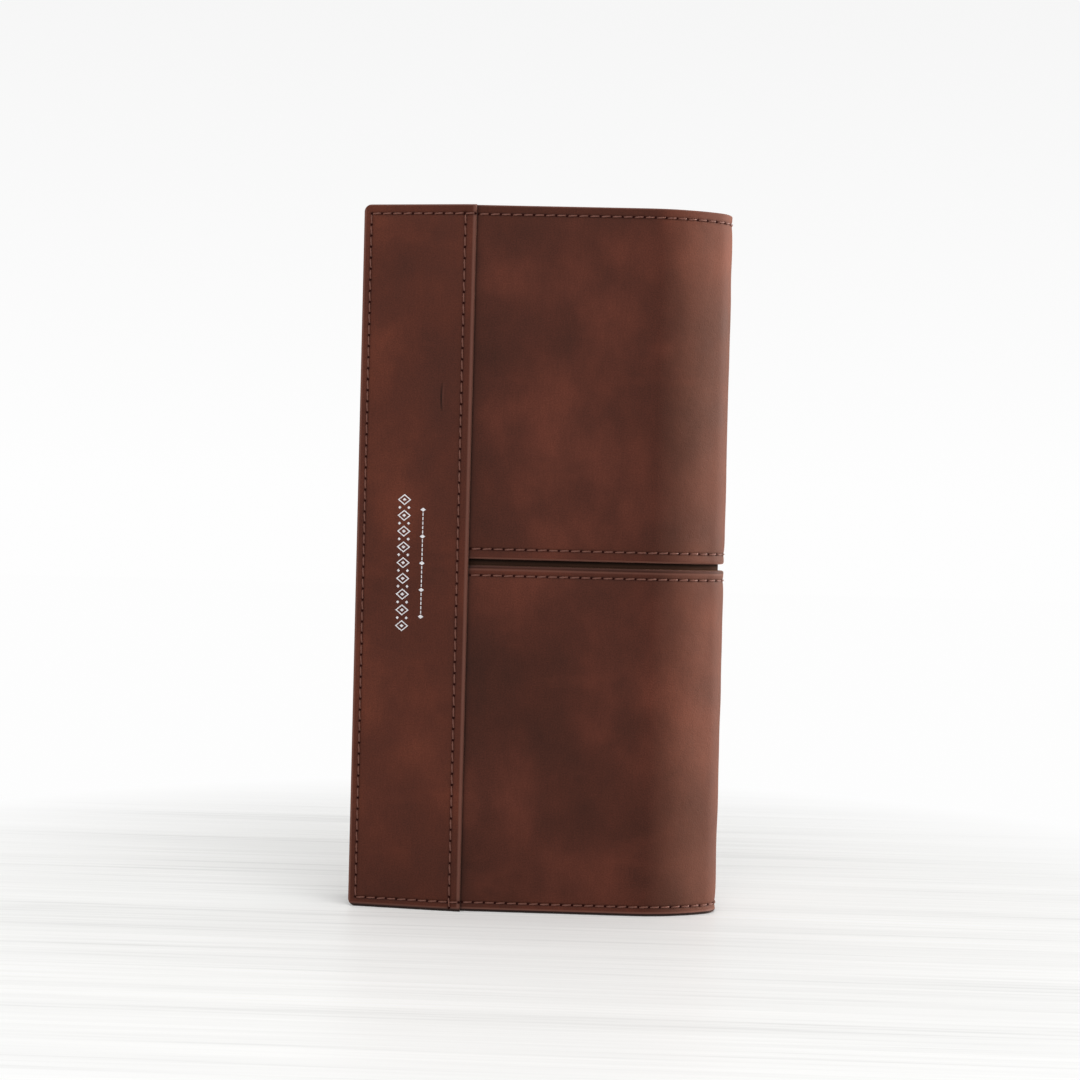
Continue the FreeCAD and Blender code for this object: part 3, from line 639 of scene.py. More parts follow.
def metal(name, colour, rough=0.28, brushed=(40, 40, 2200), strength=0.25):
    """Plated metal with fine brushing and faint handling marks."""
    g = Graph(name)
    lines = g.noise(g.stretch(g.at, brushed), 1.0, 3.0, 0.7)
    smudge = g.noise(g.at, 140.0, 4.0, 0.65)
    g.set(Metallic=1.0)
    g.set(Base_Color=g.mix(smudge, linear(colour), toned(colour, 0.84)))
    spread = g.plus(g.times(lines, 0.16), g.times(smudge, 0.14))
    g.set(Roughness=g.plus(spread, rough - 0.14))
    g.set(Normal=g.bump(lines, strength, 0.00006))
    return g.material


def foil(name):
    """Silver foil pressed into leather, a little worn through."""
    g = Graph(name)
    grain = g.noise(g.at, 1900.0, 3.0, 0.65)
    worn = g.ramp(grain, [(0.30, 1), (0.40, 0)])
    g.set(Base_Color=g.mix(worn, linear((214, 212, 214)), linear((128, 96, 88))))
    g.set(Metallic=g.math("SUBTRACT", 0.75, g.times(worn, 0.6)), Roughness=0.42)
    g.set(Normal=g.bump(grain, 0.35, 0.0001))
    return g.material


def board(name):
    """Grey-brown fibre board with a painted edge."""
    g = Graph(name)
    fibres = g.noise(g.stretch(g.at, (900, 900, 90)), 1.0, 4.0, 0.7)
    g.set(Base_Color=g.mix(fibres, linear((62, 38, 31)), linear((92, 60, 50))), Roughness=0.8,
          Normal=g.bump(fibres, 0.4, 0.0002))
    return g.material


def clear_film(name):
    """Thin clear window film with faint scuffs."""
    g = Graph(name)
    scuffs = g.noise(g.stretch(g.at, (300, 300, 60)), 2.0, 4.0, 0.7)
    g.set(Base_Color=g.mix(scuffs, (0.50, 0.52, 0.52), (0.62, 0.64, 0.64)), Alpha=0.10)
    g.set(Roughness=g.plus(g.times(scuffs, 0.15), 0.08))
    return g.material


PANEL_LEATHER = nubuck("panel_nubuck", (92, 46, 33), (71, 34, 23), (56, 26, 16))
STRIP_LEATHER = nubuck("strip_nubuck", (95, 47, 32), (76, 36, 24), (62, 29, 19))
INNER_LEATHER = nubuck("inner_leather", (82, 43, 31), (70, 35, 26), (59, 29, 21), 0.5, 0.05, 1.4, bend=-0.96)
BACKING = cloth("backing_cloth", (66, 45, 35), sheen=0.0, shine=0.03)
LINING = cloth("lining_cloth", (66, 40, 32), 700.0, sheen=0.12)
TAPE = cloth("zip_tape_weave", (52, 33, 28), 1300.0)
THREAD = thread_material("seam_thread", (110, 66, 53))
# painted shadow for the needle holes
HOLE_SHADOW = painted_hole_shadow("needle_hole")
ZIP = metal("zip_metal", (190, 180, 166), 0.26)
SNAP = metal("snap_metal", (206, 204, 202), 0.2, (300, 300, 300), 0.1)
FOIL = foil("silver_foil")
BOARD = board("filler_board")
FILM = clear_film("window_film")


# ---- the line across the spine where sheets would bend
LEAN = 0.15


def bend(obj, body, depth, flip, *claim):
    """Works out, at this depth, the line from a cover to the spine, leaning a little off y, where a sheet
    would bend, but does not use it; bakes the sheet's transform and hides its CAD nodes.
    """
    last = np.array(COVER.at(MID, depth))
    ahead = np.array([LEAN, 1.0]) / math.hypot(LEAN, 1.0)
    first = last - ahead * np.dot(last - np.array(COVER.at(TURN_START, depth)), ahead)
    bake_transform(obj)
    stand_for(obj, *claim)


CREASE_S, CREASE_Z, CREASE_HALF = 22.6, 138.3, 4.0


def crease(s, z):
    """A short pressed line on the strip, slightly bowed, with painted shade in its groove and a painted
    highlight beside it.
    """
    off = (z - CREASE_Z) / CREASE_HALF
    centre = CREASE_S + 0.25 * off ** 2
    along = np.clip(1 - np.abs(off), 0, 1) ** 0.5
    gap = s - centre
    depth = along * (0.26 * bell(gap, 0.24) - 0.14 * bell(gap - 0.5, 0.32))
    return depth, along * 0.85 * bell(gap, 0.26), 0.3 * along * bell(gap - 0.5, 0.2)


def beside_strip(s, z):
    """Painted shadow on the panel along the strip's raised edge; at the slot, painted shadow on the lower
    panel's top edge under the upper panel, and below it a line in the edge paint colour, partly edge paint
    and partly a painted highlight on the crest.
    """
    gap = np.maximum(s - STRIP_END, 0)
    shade = 0.62 * np.exp(-gap / 0.35) + 0.16 * np.exp(-gap / 2.2)
    lip = np.where(z < LOW_TOP, LOW_TOP - z, FAR)
    shade = shade + 0.5 * np.clip((0.95 - lip) / 0.3, 0, 1)
    return 0 * s, shade, 0.8 * bell(lip - 1.15, 0.24)


def spine_creases(s, z):
    """Soft upright creases in the lining where the covers bend, with painted shade in their hollows."""
    near = bell(s - MID + 9, 8.0)
    wave = np.sin(s * 1.55 + 1.3 * np.sin(z * 0.045) + 0.5 * np.sin(z * 0.13))
    return 0.09 * near * (1 + wave), 0.22 * near * np.clip(wave, 0, 1) ** 2, 0


def strip_seams():
    top, low, left, right = HEIGHT - END_SEAM, END_SEAM, FREE_SEAM, STRIP_END - INNER_SEAM
    loop = run((STRIP_END - 0.35, top), (left, top)) + run((left, top), (left, low))[1:]
    loop += run((left, low), (STRIP_END - 0.35, low))[1:]
    return [loop, run((right, top), (right, 0.9))]


def panel_seam(z):
    """Holes counted back from the middle of the spine, so both halves meet at a hole."""
    reach = MID - STRIP_END - 0.45
    n = round(reach / PITCH)
    return [(MID - reach * k / n, z) for k in range(n, -1, -1)]


def edge_strip(side, flip, cover):
    """The strip sewn down the fore edge, over the ends of both wrap panels."""
    seams = strip_seams()
    seam_s = STRIP_END - INNER_SEAM
    sv = values(0, STRIP_END, 0.8, (0.5, 0.5),
                [(FREE_SEAM, 1.3, 0.26), (seam_s, 1.3, 0.26), (CREASE_S + 0.1, 1.2, 0.2)])
    zv = values(0, HEIGHT, 0.6, (0.5, 0.5),
                [(END_SEAM, 1.2, 0.26), (HEIGHT - END_SEAM, 1.2, 0.26), (CREASE_Z, 5.0, 0.3)])
    m, thread, holes = Maker(), Maker(), Maker()
    plate(m, COVER, sv, zv, -STRIP_T, 0.0, 0.5, (STRIP_CORNER_R, 0, 0, STRIP_CORNER_R), seams,
          (0.6, 0.85, 1.15, 0.4), uneven=STRIP_UNEVEN, extra=None if flip else crease)
    settle(m.build(side + "_strip_leather", STRIP_LEATHER, flip), cover, "strip_leather", side + "_strip")
    sew(thread, holes, COVER, seams, -STRIP_T, 1)
    settle(thread.build(side + "_strip_stitches", THREAD, flip), cover, "seam_thread", side + "_strip_thread")
    settle(holes.build(side + "_strip_needle_holes", HOLE_SHADOW, flip), cover)


def wrap_panels(side, flip, cover):
    """The upper and lower wrap, from under the strip to the middle of the spine."""
    thread, holes = Maker(), Maker()
    for level, z0, z1, in0, in1, rounds, paint in (
            ("upper", HIGH_BOTTOM, HEIGHT, SLOT_SEAM, END_SEAM, (0.8, 0.6), (0.5, 0.4)),
            ("lower", 0.0, LOW_TOP, END_SEAM, SLOT_SEAM, (0.9, 0.7), (1.15, 0.35))):
        rows = (z0 + in0, z1 - in1)
        seams = [panel_seam(z) for z in rows]
        sv = values(PANEL_START, MID, 0.6, (0.3, 0), [(MID, 0.6, 0.12)])
        zv = values(z0, z1, 2.4, rounds, [(z, 1.4, 0.24) for z in rows] + [(z, 4.0, 0.8) for z in rows])
        m = Maker()
        plate(m, COVER, sv, zv, 0.0, PANEL_T, 0.6, seams=seams, paint=(0, 0, *paint), open_end=True,
              uneven=0.10, extra=beside_strip, soft=(0.3, 0.01, *rounds))
        bend(m.build("%s_panel_%s_leather" % (level, side), PANEL_LEATHER, flip), cover, PANEL_T / 2, flip,
             "panel_leather", "%s_panel_%s" % (level, side), "%s_panel_spine" % level)
        sew(thread, holes, COVER, seams, 0.0, 1)
    bend(thread.build(side + "_panel_stitches", THREAD, flip), cover, PANEL_T / 2, flip,
         "seam_thread", side + "_panel_threads", "spine_panel_threads")
    bend(holes.build(side + "_panel_needle_holes", HOLE_SHADOW, flip), cover, PANEL_T / 2, flip)


def slot_shade(s, z):
    """The backing is dark under the upper panel's lip and lighter above the lower panel."""
    return 0, np.clip((z - LOW_TOP) / (HIGH_BOTTOM - LOW_TOP) * 2.4 - 0.9, 0, 1), 0


def backing_and_lining(side, flip, cover):
    """The cloth seen in the slot, and the lining inside the cover."""
    sv = values(0.6, MID, 1.2, (0.1, 0), [(MID, 0.6, 0.12), (MID - 12, 12.0, 0.45)])
    for name, material, top, bottom, step, fine, extra, slot in (
            ("backing", BACKING, PANEL_T + 0.02, PANEL_T + BACKING_T + 0.05, 10.0,
             [((LOW_TOP + HIGH_BOTTOM) / 2, 1.6, 0.15)], slot_shade, "backing_cloth"),
            ("lining", LINING, INNER_D, PANEL_T + BACKING_T, 3.0, [], spine_creases, "lining_cloth")):
        m = Maker()
        zv = values(0.02, HEIGHT - 0.02, step, (0.15, 0.15), fine)
        plate(m, COVER, sv, zv, top, bottom, 0.15, open_end=True, extra=extra)
        middle = PANEL_T + BACKING_T / 2 if name == "backing" else INNER_D - LINING_T / 2
        bend(m.build("%s_%s_cloth" % (side, name), material, flip), cover, middle, flip,
             slot, "%s_%s" % (side, name), "spine_" + name)


for side in ("front", "back"):
    for part in (edge_strip, wrap_panels, backing_and_lining):
        part(side, side == "back", side + "_cover")

# ---- foil ornament, plain shapes only
def foil_shape(maker, outline, height=0.035):
    """A flat foil shape pressed on the strip; outline is (s, z) in mm."""
    p = np.array(outline)
    n = len(p)
    low = -STRIP_T + np.clip(ripple(p[:, 0], p[:, 1], STRIP_UNEVEN), -STRIP_UNEVEN, STRIP_UNEVEN)
    x, y = COVER.at(p[:, 0], low - height)
    x0, y0 = COVER.at(p[:, 0], low + 0.05)
    pts = [points_of(x, y, p[:, 1]), points_of(x0, y0, p[:, 1])]
    faces = [tuple(range(n))] + [(i, n + i, n + (i + 1) % n, (i + 1) % n) for i in range(n)]
    maker.add(np.concatenate(pts), faces)


def lozenge(maker, s, z, w, h, ring=0.0):
    """A filled lozenge, or only its border when a ring width is given."""
    f = 1 - ring / min(w, h)
    outer, inner = ([(s - a, z), (s, z - b), (s + a, z), (s, z + b)] for a, b in ((w, h), (w * f, h * f)))
    if ring <= 0:
        foil_shape(maker, outer)
        return
    for i in range(4):
        j = (i + 1) % 4
        foil_shape(maker, [outer[i], outer[j], inner[j], inner[i]])


MARK_S, MARK_Z, FINE_S = 13.2, 93.4, 18.4
LOZENGE_STEP, DASH_STEP, DASH_S, DASH_Z = 4.25, 1.2, 0.13, 0.42
BOX = ((-1, -1), (1, -1), (1, 1), (-1, 1))
m = Maker()
for k in range(-4, 5):
    z = MARK_Z + k * LOZENGE_STEP
    lozenge(m, MARK_S, z, 1.85, 1.5, 0.36)
    lozenge(m, MARK_S, z, 0.55, 0.45)
    if k < 4:
        for way in (-1, 1):
            lozenge(m, MARK_S + way * 1.25, z + LOZENGE_STEP / 2, 0.42, 0.42)
for k in range(-12, 13):
    z = MARK_Z + k * DASH_STEP
    if k % 6 == 0:
        lozenge(m, FINE_S, z, 0.75, 0.55)
    else:
        foil_shape(m, [(FINE_S + a * DASH_S, z + b * DASH_Z) for a, b in BOX])
settle(m.build("front_foil_ornament", FOIL, smooth=False), "front_cover")

# ---- note panels and card slots
NOTE_GAP, NOTE_T, CARD_GAP, CARD_T, CARD_STEP = 0.9, 0.5, 0.9, 0.4, 1.3
NOTE_TOP = INNER_D + NOTE_GAP + NOTE_T
NOTE_MOUTH, CARD_MOUTHS = 26.0, (23.0, 13.0, 3.0)
CARD_S0, SEAM_RIM, POCKET_SEAM = s_at(-21.0), 3.0, 1.5
POCKET_Z = (4.0, HEIGHT - 4.0)


def pocket_seams(s0, s1, rows):
    """Rows of stitches across a pocket, and one down its shut side."""
    across = [run((s0 + POCKET_SEAM, z), (s1 - 1.0, z)) for z in rows]
    return across + [run((s0 + POCKET_SEAM, rows[0]), (s0 + POCKET_SEAM, rows[-1]))]


def pocket_rims(maker, s0, s1, z0, z1, rows, top, bottom):
    """Thin bars under the seams that hold a pocket off the sheet below."""
    bars = [(s0, s0 + SEAM_RIM, z0, z1)] + [(s0, s1, z - POCKET_SEAM, z + POCKET_SEAM) for z in rows]
    for a, b, c, d in bars:
        plate(maker, COVER, values(a, b, 6.0), values(c, d, 30.0), top, bottom, 0.02)


def sewn(name, piece, seams, track, top, sign, body, flip, radius, dip, nodes=(), stem=None):
    """Builds a leather piece and the stitches and holes of its seams."""
    settle(piece.build(name, INNER_LEATHER, flip), body, "inner_leather", *nodes)
    thread, holes = Maker(), Maker()
    sew(thread, holes, track, seams, top, sign, radius, dip)
    stem = stem or name
    settle(thread.build(stem + "_stitches", THREAD, flip), body, "seam_thread")
    settle(holes.build(stem + "_holes", HOLE_SHADOW, flip), body)


def inner_sheet(name, node, s0, s1, floor, gap, t, z0, z1, dividers, body, flip):
    """A sewn pocket with its mouth to the spine, a line pressed along the mouth, and stitches round it."""
    rows = [z0 + POCKET_SEAM] + dividers + [z1 - POCKET_SEAM]
    seams = pocket_seams(s0, s1, rows)
    sv = values(s0, s1, 1.2, (0.18, 0.18), [(s0 + POCKET_SEAM, 0.9, 0.3), (s1 - 1.6, 0.6, 0.2)])
    zv = values(z0, z1, 1.6, (0.18, 0.18), [(z, 0.9, 0.3) for z in rows])

    def mouth_line(s, z):
        near = bell(s - (s1 - 1.6), 0.22)
        return 0.10 * near, 0.35 * near, 0

    m = Maker()
    plate(m, COVER, sv, zv, floor + gap + t, floor + gap, 0.18, (0, 0.8, 0.8, 0), seams, (0, 0.35, 0, 0),
          pull=0.05, extra=mouth_line)
    pocket_rims(m, s0, s1, z0, z1, rows, floor + gap, floor + 0.06)
    sewn(name, m, seams, COVER, floor + gap + t, -1, body, flip, 0.2, 0.08, [node])


for side, slots in (("front", 3), ("back", 2)):
    body, flip = side + "_cover", side == "back"
    inner_sheet(side + "_note_pocket", side + "_note_panel", 4.0, s_at(NOTE_MOUTH), INNER_D, NOTE_GAP, NOTE_T,
                3.0, HEIGHT - 3.0, [], body, flip)
    for row, mouth in enumerate(CARD_MOUTHS[:slots]):
        name, node = (side + kind + str(row + 1) for kind in ("_card_slot_", "_card_pocket_"))
        inner_sheet(name, node, CARD_S0, s_at(mouth), NOTE_TOP + row * CARD_STEP, CARD_GAP, CARD_T,
                    *POCKET_Z, [HEIGHT / 2], body, flip)

# ---- window page on the back cover
TOP_D = NOTE_TOP + 2 * CARD_STEP + CARD_GAP
WINDOW_S1 = s_at(CARD_MOUTHS[-1])
WINDOW_S = (CARD_S0 + 5.0, WINDOW_S1 - 3.5)
WINDOW_Z = ((11.0, HEIGHT / 2 - 7.0), (HEIGHT / 2 + 7.0, HEIGHT - 11.0))


def rounded_window(a, b, c, d, r=3.0, n=5):
    """The corners of one window, filled back in as small fans of the sheet."""
    turn = [math.pi / 2 * i / n for i in range(n + 1)]
    out = []
    for cs, cz, ds, dz in ((a, c, 1, 1), (b, c, -1, 1), (b, d, -1, -1), (a, d, 1, -1)):
        arc = [(cs + ds * r * (1 - math.cos(u)), cz + dz * r * (1 - math.sin(u))) for u in turn]
        out.append([(cs, cz)] + arc[::1 if ds * dz < 0 else -1])
    return out


def window_ring(a, b, c, d, off=1.3):
    """The seam round one window."""
    a, b, c, d = a - off, b + off, c - off, d + off
    corners = [(a, c), (b, c), (b, d), (a, d), (a, c)]
    return [p for u, v in zip(corners, corners[1:]) for p in run(u, v)[:-1]] + [corners[0]]


def window_page():
    a, b = WINDOW_S
    rows = [POCKET_Z[0] + POCKET_SEAM, HEIGHT / 2, POCKET_Z[1] - POCKET_SEAM]
    seams = pocket_seams(CARD_S0, WINDOW_S1, rows) + [window_ring(a, b, c, d) for c, d in WINDOW_Z]
    sv = values(CARD_S0, WINDOW_S1, 1.0, (0.18, 0.18),
                [(CARD_S0 + POCKET_SEAM, 0.8, 0.3), (a, 0.4, 0.2), (b, 0.4, 0.2)])
    zv = values(*POCKET_Z, 1.4, (0.18, 0.18), [(z, 0.9, 0.3) for z in rows])
    sv = np.unique(np.round(np.concatenate([sv, [a, b]]), 4))
    zv = np.unique(np.round(np.concatenate([zv, np.ravel(WINDOW_Z)]), 4))
    m = Maker()
    plate(m, COVER, sv, zv, TOP_D + CARD_T, TOP_D, 0.18, (0, 0.8, 0.8, 0), seams, (0, 0.35, 0, 0), pull=0.05,
          windows=[(a, b, c, d) for c, d in WINDOW_Z], hole_dip=0.05)
    for fan in (fan for c, d in WINDOW_Z for fan in rounded_window(a, b, c, d)):
        p = np.array(fan)
        n = len(p)
        face, back = (points_of(*COVER.at(p[:, 0], depth), p[:, 1]) for depth in (TOP_D + 0.33, TOP_D))
        faces = [tuple(range(n))[::-1], tuple(range(n, 2 * n))]
        faces += [(i, (i + 1) % n, n + (i + 1) % n, n + i) for i in range(n)]
        m.add(np.concatenate([face, back]), faces, np.concatenate([p, p]))
    pocket_rims(m, CARD_S0, WINDOW_S1, *POCKET_Z, rows, TOP_D, TOP_D - 0.84)
    sewn("back_window_frame", m, seams, COVER, TOP_D + CARD_T, -1, "back_cover", True, 0.17, 0.08,
         ["id_window_frame"], "back_window")
    m = Maker()
    for c, d in WINDOW_Z:
        sv = values(a - 1.5, b + 1.5, 1.5, (0.03, 0.03))
        zv = values(c - 1.5, d + 1.5, 4.0, (0.03, 0.03))
        plate(m, COVER, sv, zv, TOP_D - 0.02, TOP_D - 0.16, 0.03, uneven=0.05)
    settle(m.build("back_window_film", FILM, True), "back_cover", "clear_film", "id_window_film")


window_page()

# ---- stiff filler boards under the edge strips
for side in ("front", "back"):
    m = Maker()
    sv = values(0.45, PANEL_START - 0.3, 2.5, (0.3, 0.1))
    zv = values(0.45, HEIGHT - 0.45, 6.0, (0.3, 0.3))
    plate(m, COVER, sv, zv, 0.03, PANEL_T, 0.3, (1.6, 0, 0, 1.6), paint=(2, 0, 2, 2))
    settle(m.build(side + "_filler_edge", BOARD, side == "back"), side + "_cover", "filler_board",
           side + "_filler_board")

# ---- coin leaf
LEAF_Z0, LEAF_Z1 = 6.0, HEIGHT - 6.0
LEAF_SEAM, LEAF_INNER_SEAM, LEAF_END_SEAM = 1.7, 7.2, 2.0
FOLD_S = LEAF.length / 2


def fold_wrinkles(s, z):
    """Soft cross creases where the leaf turns round its fold, with painted shade in their hollows."""
    near = bell(s - FOLD_S, 4.5)
    fine = np.sin(z * 1.7 + 2.0 * np.sin(z * 0.31)) * np.sin(s * 0.9 + z * 0.4)
    return 0.06 * near * (1 + fine), 0.10 * near * np.clip(fine, 0, 1), 0


def leaf_skin():
    """Both walls and the fold of the coin leaf, one sheet from tape to tape."""
    ends = (LEAF_Z0 + LEAF_END_SEAM, LEAF_Z1 - LEAF_END_SEAM)
    fold_start = FOLD_S - math.pi * LEAF_HALF / 2 - 0.5
    front, back = (lambda s: s), (lambda s: LEAF.length - s)
    seams = []
    for wall in (front, back):
        seams.append(run((wall(LEAF_SEAM), ends[0]), (wall(LEAF_SEAM), ends[1])))
        seams.append(run((wall(LEAF_INNER_SEAM), LEAF_Z0 + 5.0), (wall(LEAF_INNER_SEAM), LEAF_Z1 - 5.0)))
        seams += [run((wall(LEAF_SEAM), z), (wall(fold_start), z)) for z in ends]
    fine = [(wall(s), 0.9, 0.3) for wall in (front, back) for s in (LEAF_SEAM, LEAF_INNER_SEAM)]
    sv = values(0, LEAF.length, 1.4, (0.35, 0.35), fine + [(FOLD_S, 6.5, 0.5)])
    zv = values(LEAF_Z0, LEAF_Z1, 2.0, (0.35, 0.35), [(z, 0.9, 0.3) for z in ends])
    m = Maker()
    plate(m, LEAF, sv, zv, 0.0, LEAF_T, 0.35, seams=seams, paint=(0.4, 0.4, 0.35, 0.35), pull=0.09,
          uneven=0.05, extra=fold_wrinkles, hole_dip=0.1)
    sewn("coin_leaf_skin", m, seams, LEAF, 0.0, 1, "coin_leaf", False, 0.19, 0.14,
         ["leaf_front_wall", "leaf_back_wall", "leaf_fold"], "coin_leaf")


def gusset(label, z_face, way):
    """A cloth end folded inward like a bellows."""
    half = LEAF_HALF - LEAF_T - 0.05
    xs, vs = np.linspace(LEAF_X + 0.6, 35.0, 60), np.linspace(-1, 1, 13)
    reach = np.minimum(half, LEAF_FORE - LEAF_T + 0.05 + (xs - LEAF_X) * math.tan(SLOPE))
    reach = np.where(xs > FOLD_X, np.sqrt(np.maximum(half ** 2 - (xs - FOLD_X) ** 2, 0.0)), reach)
    x, v = np.meshgrid(xs, vs, indexing="ij")
    y = v * reach[:, None]
    dip = (1 - np.abs(v)) ** 0.8 * 2.6 * np.clip((x - LEAF_X) / 12, 0.15, 1) * np.clip((35.5 - x) / 4, 0.1, 1)
    dip = dip + 0.15 * np.sin(x * 0.8 + 3 * v) * (1 - np.abs(v))
    uv = np.stack([x.ravel(), (y + np.sign(v) * dip).ravel()], 1)
    m, stem = Maker(), "leaf_gusset_" + label
    faces = [points_of(x, y, z_face + way * (dip + depth)) for depth in (0.0, 0.5)]
    # painted shade along the deepest fold of the bellows
    slab(m, faces, x.shape, uv, way > 0, way > 0, 0.5 * bell(v, 0.12))
    settle(m.build(stem + "_cloth", LINING), "coin_leaf", "lining_cloth", stem)


def tape_cord(s, z):
    """A beaded edge beside the teeth."""
    return -0.22 * bell(s + 0.35, 0.3) + 0.02 * np.sin(z * 5.7), 0, 0


def hinge_web():
    """The leather that joins the leaf to the spine, thinner along the leaf's own turning line."""
    z0, z1, fold_x = 12.0, 178.0, 39.4
    stretches = ((35.6, 38.2, 6), (38.4, 40.4, 21), (40.8, 47.45, 8))
    xs = np.concatenate([np.linspace(a, b, n) for a, b, n in stretches])
    x, z = np.meshgrid(xs, values(z0, z1, 1.5, (0.3, 0.3)), indexing="ij")
    from_end = np.clip(np.minimum(z - z0, z1 - z) / 0.35, 0, 1)
    thick = 0.38 * np.sqrt(np.clip(1 - (1 - from_end) ** 2, 0.02, 1))
    thick = thick * (1 - 0.4 * bell(x - fold_x, 0.7))
    m = Maker()
    faces = [points_of(x, way * thick, z) for way in (-1, 1)]
    slab(m, faces, x.shape, np.stack([x.ravel(), z.ravel()], 1), False, True)
    obj = m.build("leaf_hinge_web", INNER_LEATHER)
    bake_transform(obj)
    stand_for(obj, "inner_leather", "leaf_hinge_strap")


leaf_skin()
gusset("bottom", LEAF_Z0 + 0.1, 1)
gusset("top", LEAF_Z1 - 0.1, -1)
for side in ("front", "back"):
    m = Maker()
    plate(m, LEAF, values(-0.62, 8.0, 0.5, (0.12, 0.12), [(-0.3, 0.5, 0.12)]),
          values(LEAF_Z0 + 0.8, LEAF_Z1 - 0.8, 0.4), 1.3, 0.92, 0.1, extra=tape_cord)
    tape = m.build("zip_tape_%s_weave" % side, TAPE, side == "back")
    settle(tape, "coin_leaf", "zip_tape", "zip_tape_" + side)
hinge_web()

# ---- metal pieces keep their CAD shape
BEVELS = {"zip_teeth_front": 0.1, "zip_teeth_back": 0.1, "zip_stops": 0, "zip_slider": 0.3, "zip_pull": 0.22,
          "snap_stud": 0, "snap_stud_washer": 0.05, "snap_socket": 0.05, "snap_socket_washer": 0.05}
for node, bevel in BEVELS.items():
    obj = NODES[node]
    obj.data.materials.clear()
    obj.data.materials.append(ZIP if node.startswith("zip") else SNAP)
    if bevel:
        soft_edge = obj.modifiers.new("soft_edge", "BEVEL")
        soft_edge.width, soft_edge.segments, soft_edge.limit_method = bevel / 1000, 2, "ANGLE"
        soft_edge.harden_normals = False

# ---- floor, backdrop, light, camera
FLOOR_REACH, FLOOR_CELLS, FLOOR_Z = 3000.0, 24, -0.02


def floor_material():
    """Pale painted wood that fades into the white backdrop."""
    g = Graph("pale_floor")
    grain = g.noise(g.stretch(g.at, (7, 420, 1)), 1.0, 4.0, 0.7)
    wide = g.noise(g.stretch(g.at, (2.5, 55, 1)), 1.0, 3.0, 0.5)
    both = g.plus(g.times(grain, 0.55), g.times(wide, 0.45))
    colour = g.ramp(both, [(0.34, linear((206, 206, 204))), (0.44, linear((228, 228, 226))),
                           (0.62, linear((240, 240, 238)))])
    g.set(Base_Color=colour, Roughness=0.42, Specular_IOR_Level=0.35, Normal=g.bump(grain, 0.08, 0.0004))
    g.set(Emission_Color=(1.0, 1.0, 1.0), Emission_Strength=0.13)
    away = g.node("ShaderNodeVectorMath", operation="LENGTH")
    g.link(g.stretch(g.at, (1.15, 1, 1)), away.inputs[0])
    fade = g.ramp(away.outputs["Value"], [(0.14, 0), (0.19, 0.25), (0.29, 1)])
    glow = g.node("ShaderNodeEmission", Strength=0.985)
    mixer = g.node("ShaderNodeMixShader")
    g.link(fade, mixer.inputs[0])
    g.link(g.shader.outputs[0], mixer.inputs[1])
    g.link(glow.outputs[0], mixer.inputs[2])
    g.link(mixer.outputs[0], g.tree.nodes["Material Output"].inputs[0])
    return g.material


def make_floor():
    line = np.linspace(-FLOOR_REACH, FLOOR_REACH, FLOOR_CELLS + 1)
    x, y = np.meshgrid(line, line, indexing="ij")
    m = Maker()
    m.add(points_of(x, y, FLOOR_Z + 0 * x), grid_quads(np.arange(x.size).reshape(x.shape)))
    plane = m.build("stage_floor", floor_material(), smooth=False)
    return plane


def make_world():
    """White to the camera; to the wallet, a softbox sky that is brighter overhead."""
    scene.world = bpy.data.worlds.new("studio")
    scene.world.use_nodes = True
    tree = scene.world.node_tree
    new, link = tree.nodes.new, tree.links.new
    split = new("ShaderNodeSeparateXYZ")
    link(new("ShaderNodeTexCoord").outputs["Generated"], split.inputs[0])
    height = split.outputs["Z"]
    sky, white, mixer = tree.nodes["Background"], new("ShaderNodeBackground"), new("ShaderNodeMixShader")
    link(add_ramp(tree, height, [(0.02, 0.99), (0.24, 0.925)]), white.inputs[0])
    light = [(0.0, 0.45), (0.10, 0.62), (0.35, 1.0), (0.55, 1.25), (1.0, 1.0)]
    link(add_ramp(tree, height, light), sky.inputs[0])
    sky.inputs["Strength"].default_value = 0.48
    link(new("ShaderNodeLightPath").outputs["Is Camera Ray"], mixer.inputs[0])
    link(sky.outputs[0], mixer.inputs[1])
    link(white.outputs[0], mixer.inputs[2])
    link(mixer.outputs[0], tree.nodes["World Output"].inputs[0])


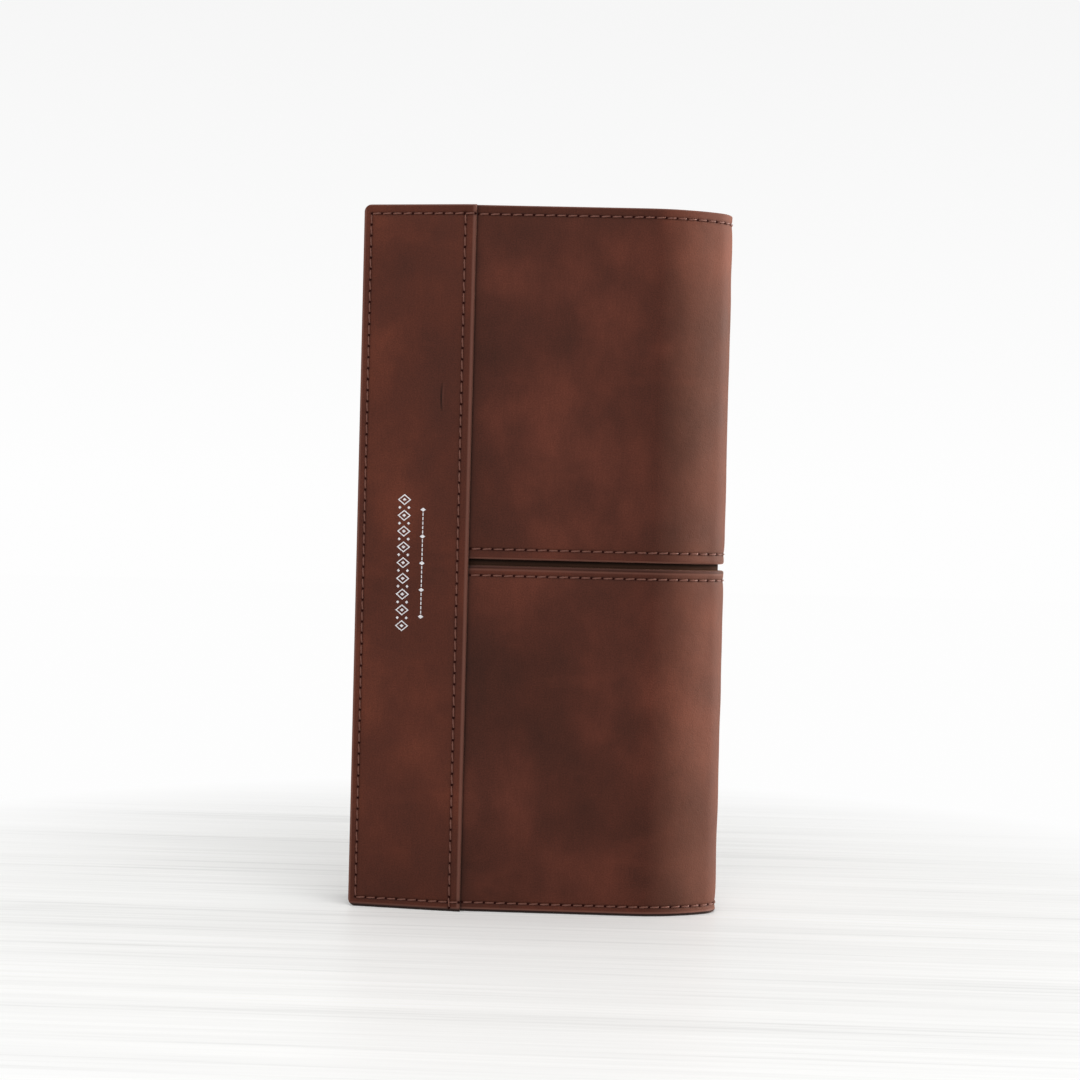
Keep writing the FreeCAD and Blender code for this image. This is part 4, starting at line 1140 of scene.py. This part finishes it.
def area(name, at, aim, size, power, colour=(1, 1, 1)):
    """A rectangular lamp at a place, aimed at another."""
    data = bpy.data.lights.new(name, "AREA")
    data.shape, data.energy, data.color = "RECTANGLE", power, colour
    data.size, data.size_y = size
    lamp = bpy.data.objects.new(name, data)
    lamp.location = at
    lamp.rotation_mode = "QUATERNION"
    lamp.rotation_quaternion = (Vector(aim) - Vector(at)).to_track_quat("-Z", "Y")
    scene.collection.objects.link(lamp)
    return lamp


floor = make_floor()
make_world()
key = area("key", (-0.32, -1.10, 0.85), (0, 0, 0.12), (1.4, 1.2), 11.0)
floor_lamp = area("floor_key", (0.30, -0.95, 1.05), (0, 0.05, 0), (1.5, 1.3), 13.5)
spine_lamp = area("spine_side", (0.90, 0.14, 0.16), (0.04, 0, 0.1), (0.28, 0.8), 25.0, (1, 0.96, 0.91))
area("top", (0.0, 0.1, 0.9), (0, 0, 0.1), (0.9, 0.6), 2.0)
for label, lamps, state in (("only_the_floor", (floor_lamp,), "INCLUDE"),
                            ("all_but_the_floor", (key, spine_lamp), "EXCLUDE")):
    lit = bpy.data.collections.new(label)
    lit.objects.link(floor)
    lit.collection_objects[0].light_linking.link_state = state
    for lamp in lamps:
        lamp.light_linking.receiver_collection = lit

CAMERA_AT = (0.0154, -0.5738, 0.1038)
YAW, LOOK_DOWN, ROLL = math.radians(1.76), math.radians(0.54), math.radians(1.43)
view = bpy.data.cameras.new("camera")
view.sensor_width, view.lens = 36.0, 69.7
view.shift_x, view.shift_y = 0.006, 0.0065
view.clip_start, view.clip_end = 0.01, 20
camera = bpy.data.objects.new("camera", view)
scene.collection.objects.link(camera)
scene.camera = camera
right = Vector((math.cos(YAW), math.sin(YAW), 0))
level = Vector((-math.sin(YAW), math.cos(YAW), 0))
ahead = level * math.cos(LOOK_DOWN) - Vector((0, 0, math.sin(LOOK_DOWN)))
up = right.cross(ahead)
right, up = right * math.cos(ROLL) + up * math.sin(ROLL), up * math.cos(ROLL) - right * math.sin(ROLL)
camera.location = CAMERA_AT
camera.rotation_mode = "QUATERNION"
camera.rotation_quaternion = Matrix((right, up, -ahead)).transposed().to_quaternion()
scene.view_settings.view_transform = "Standard"
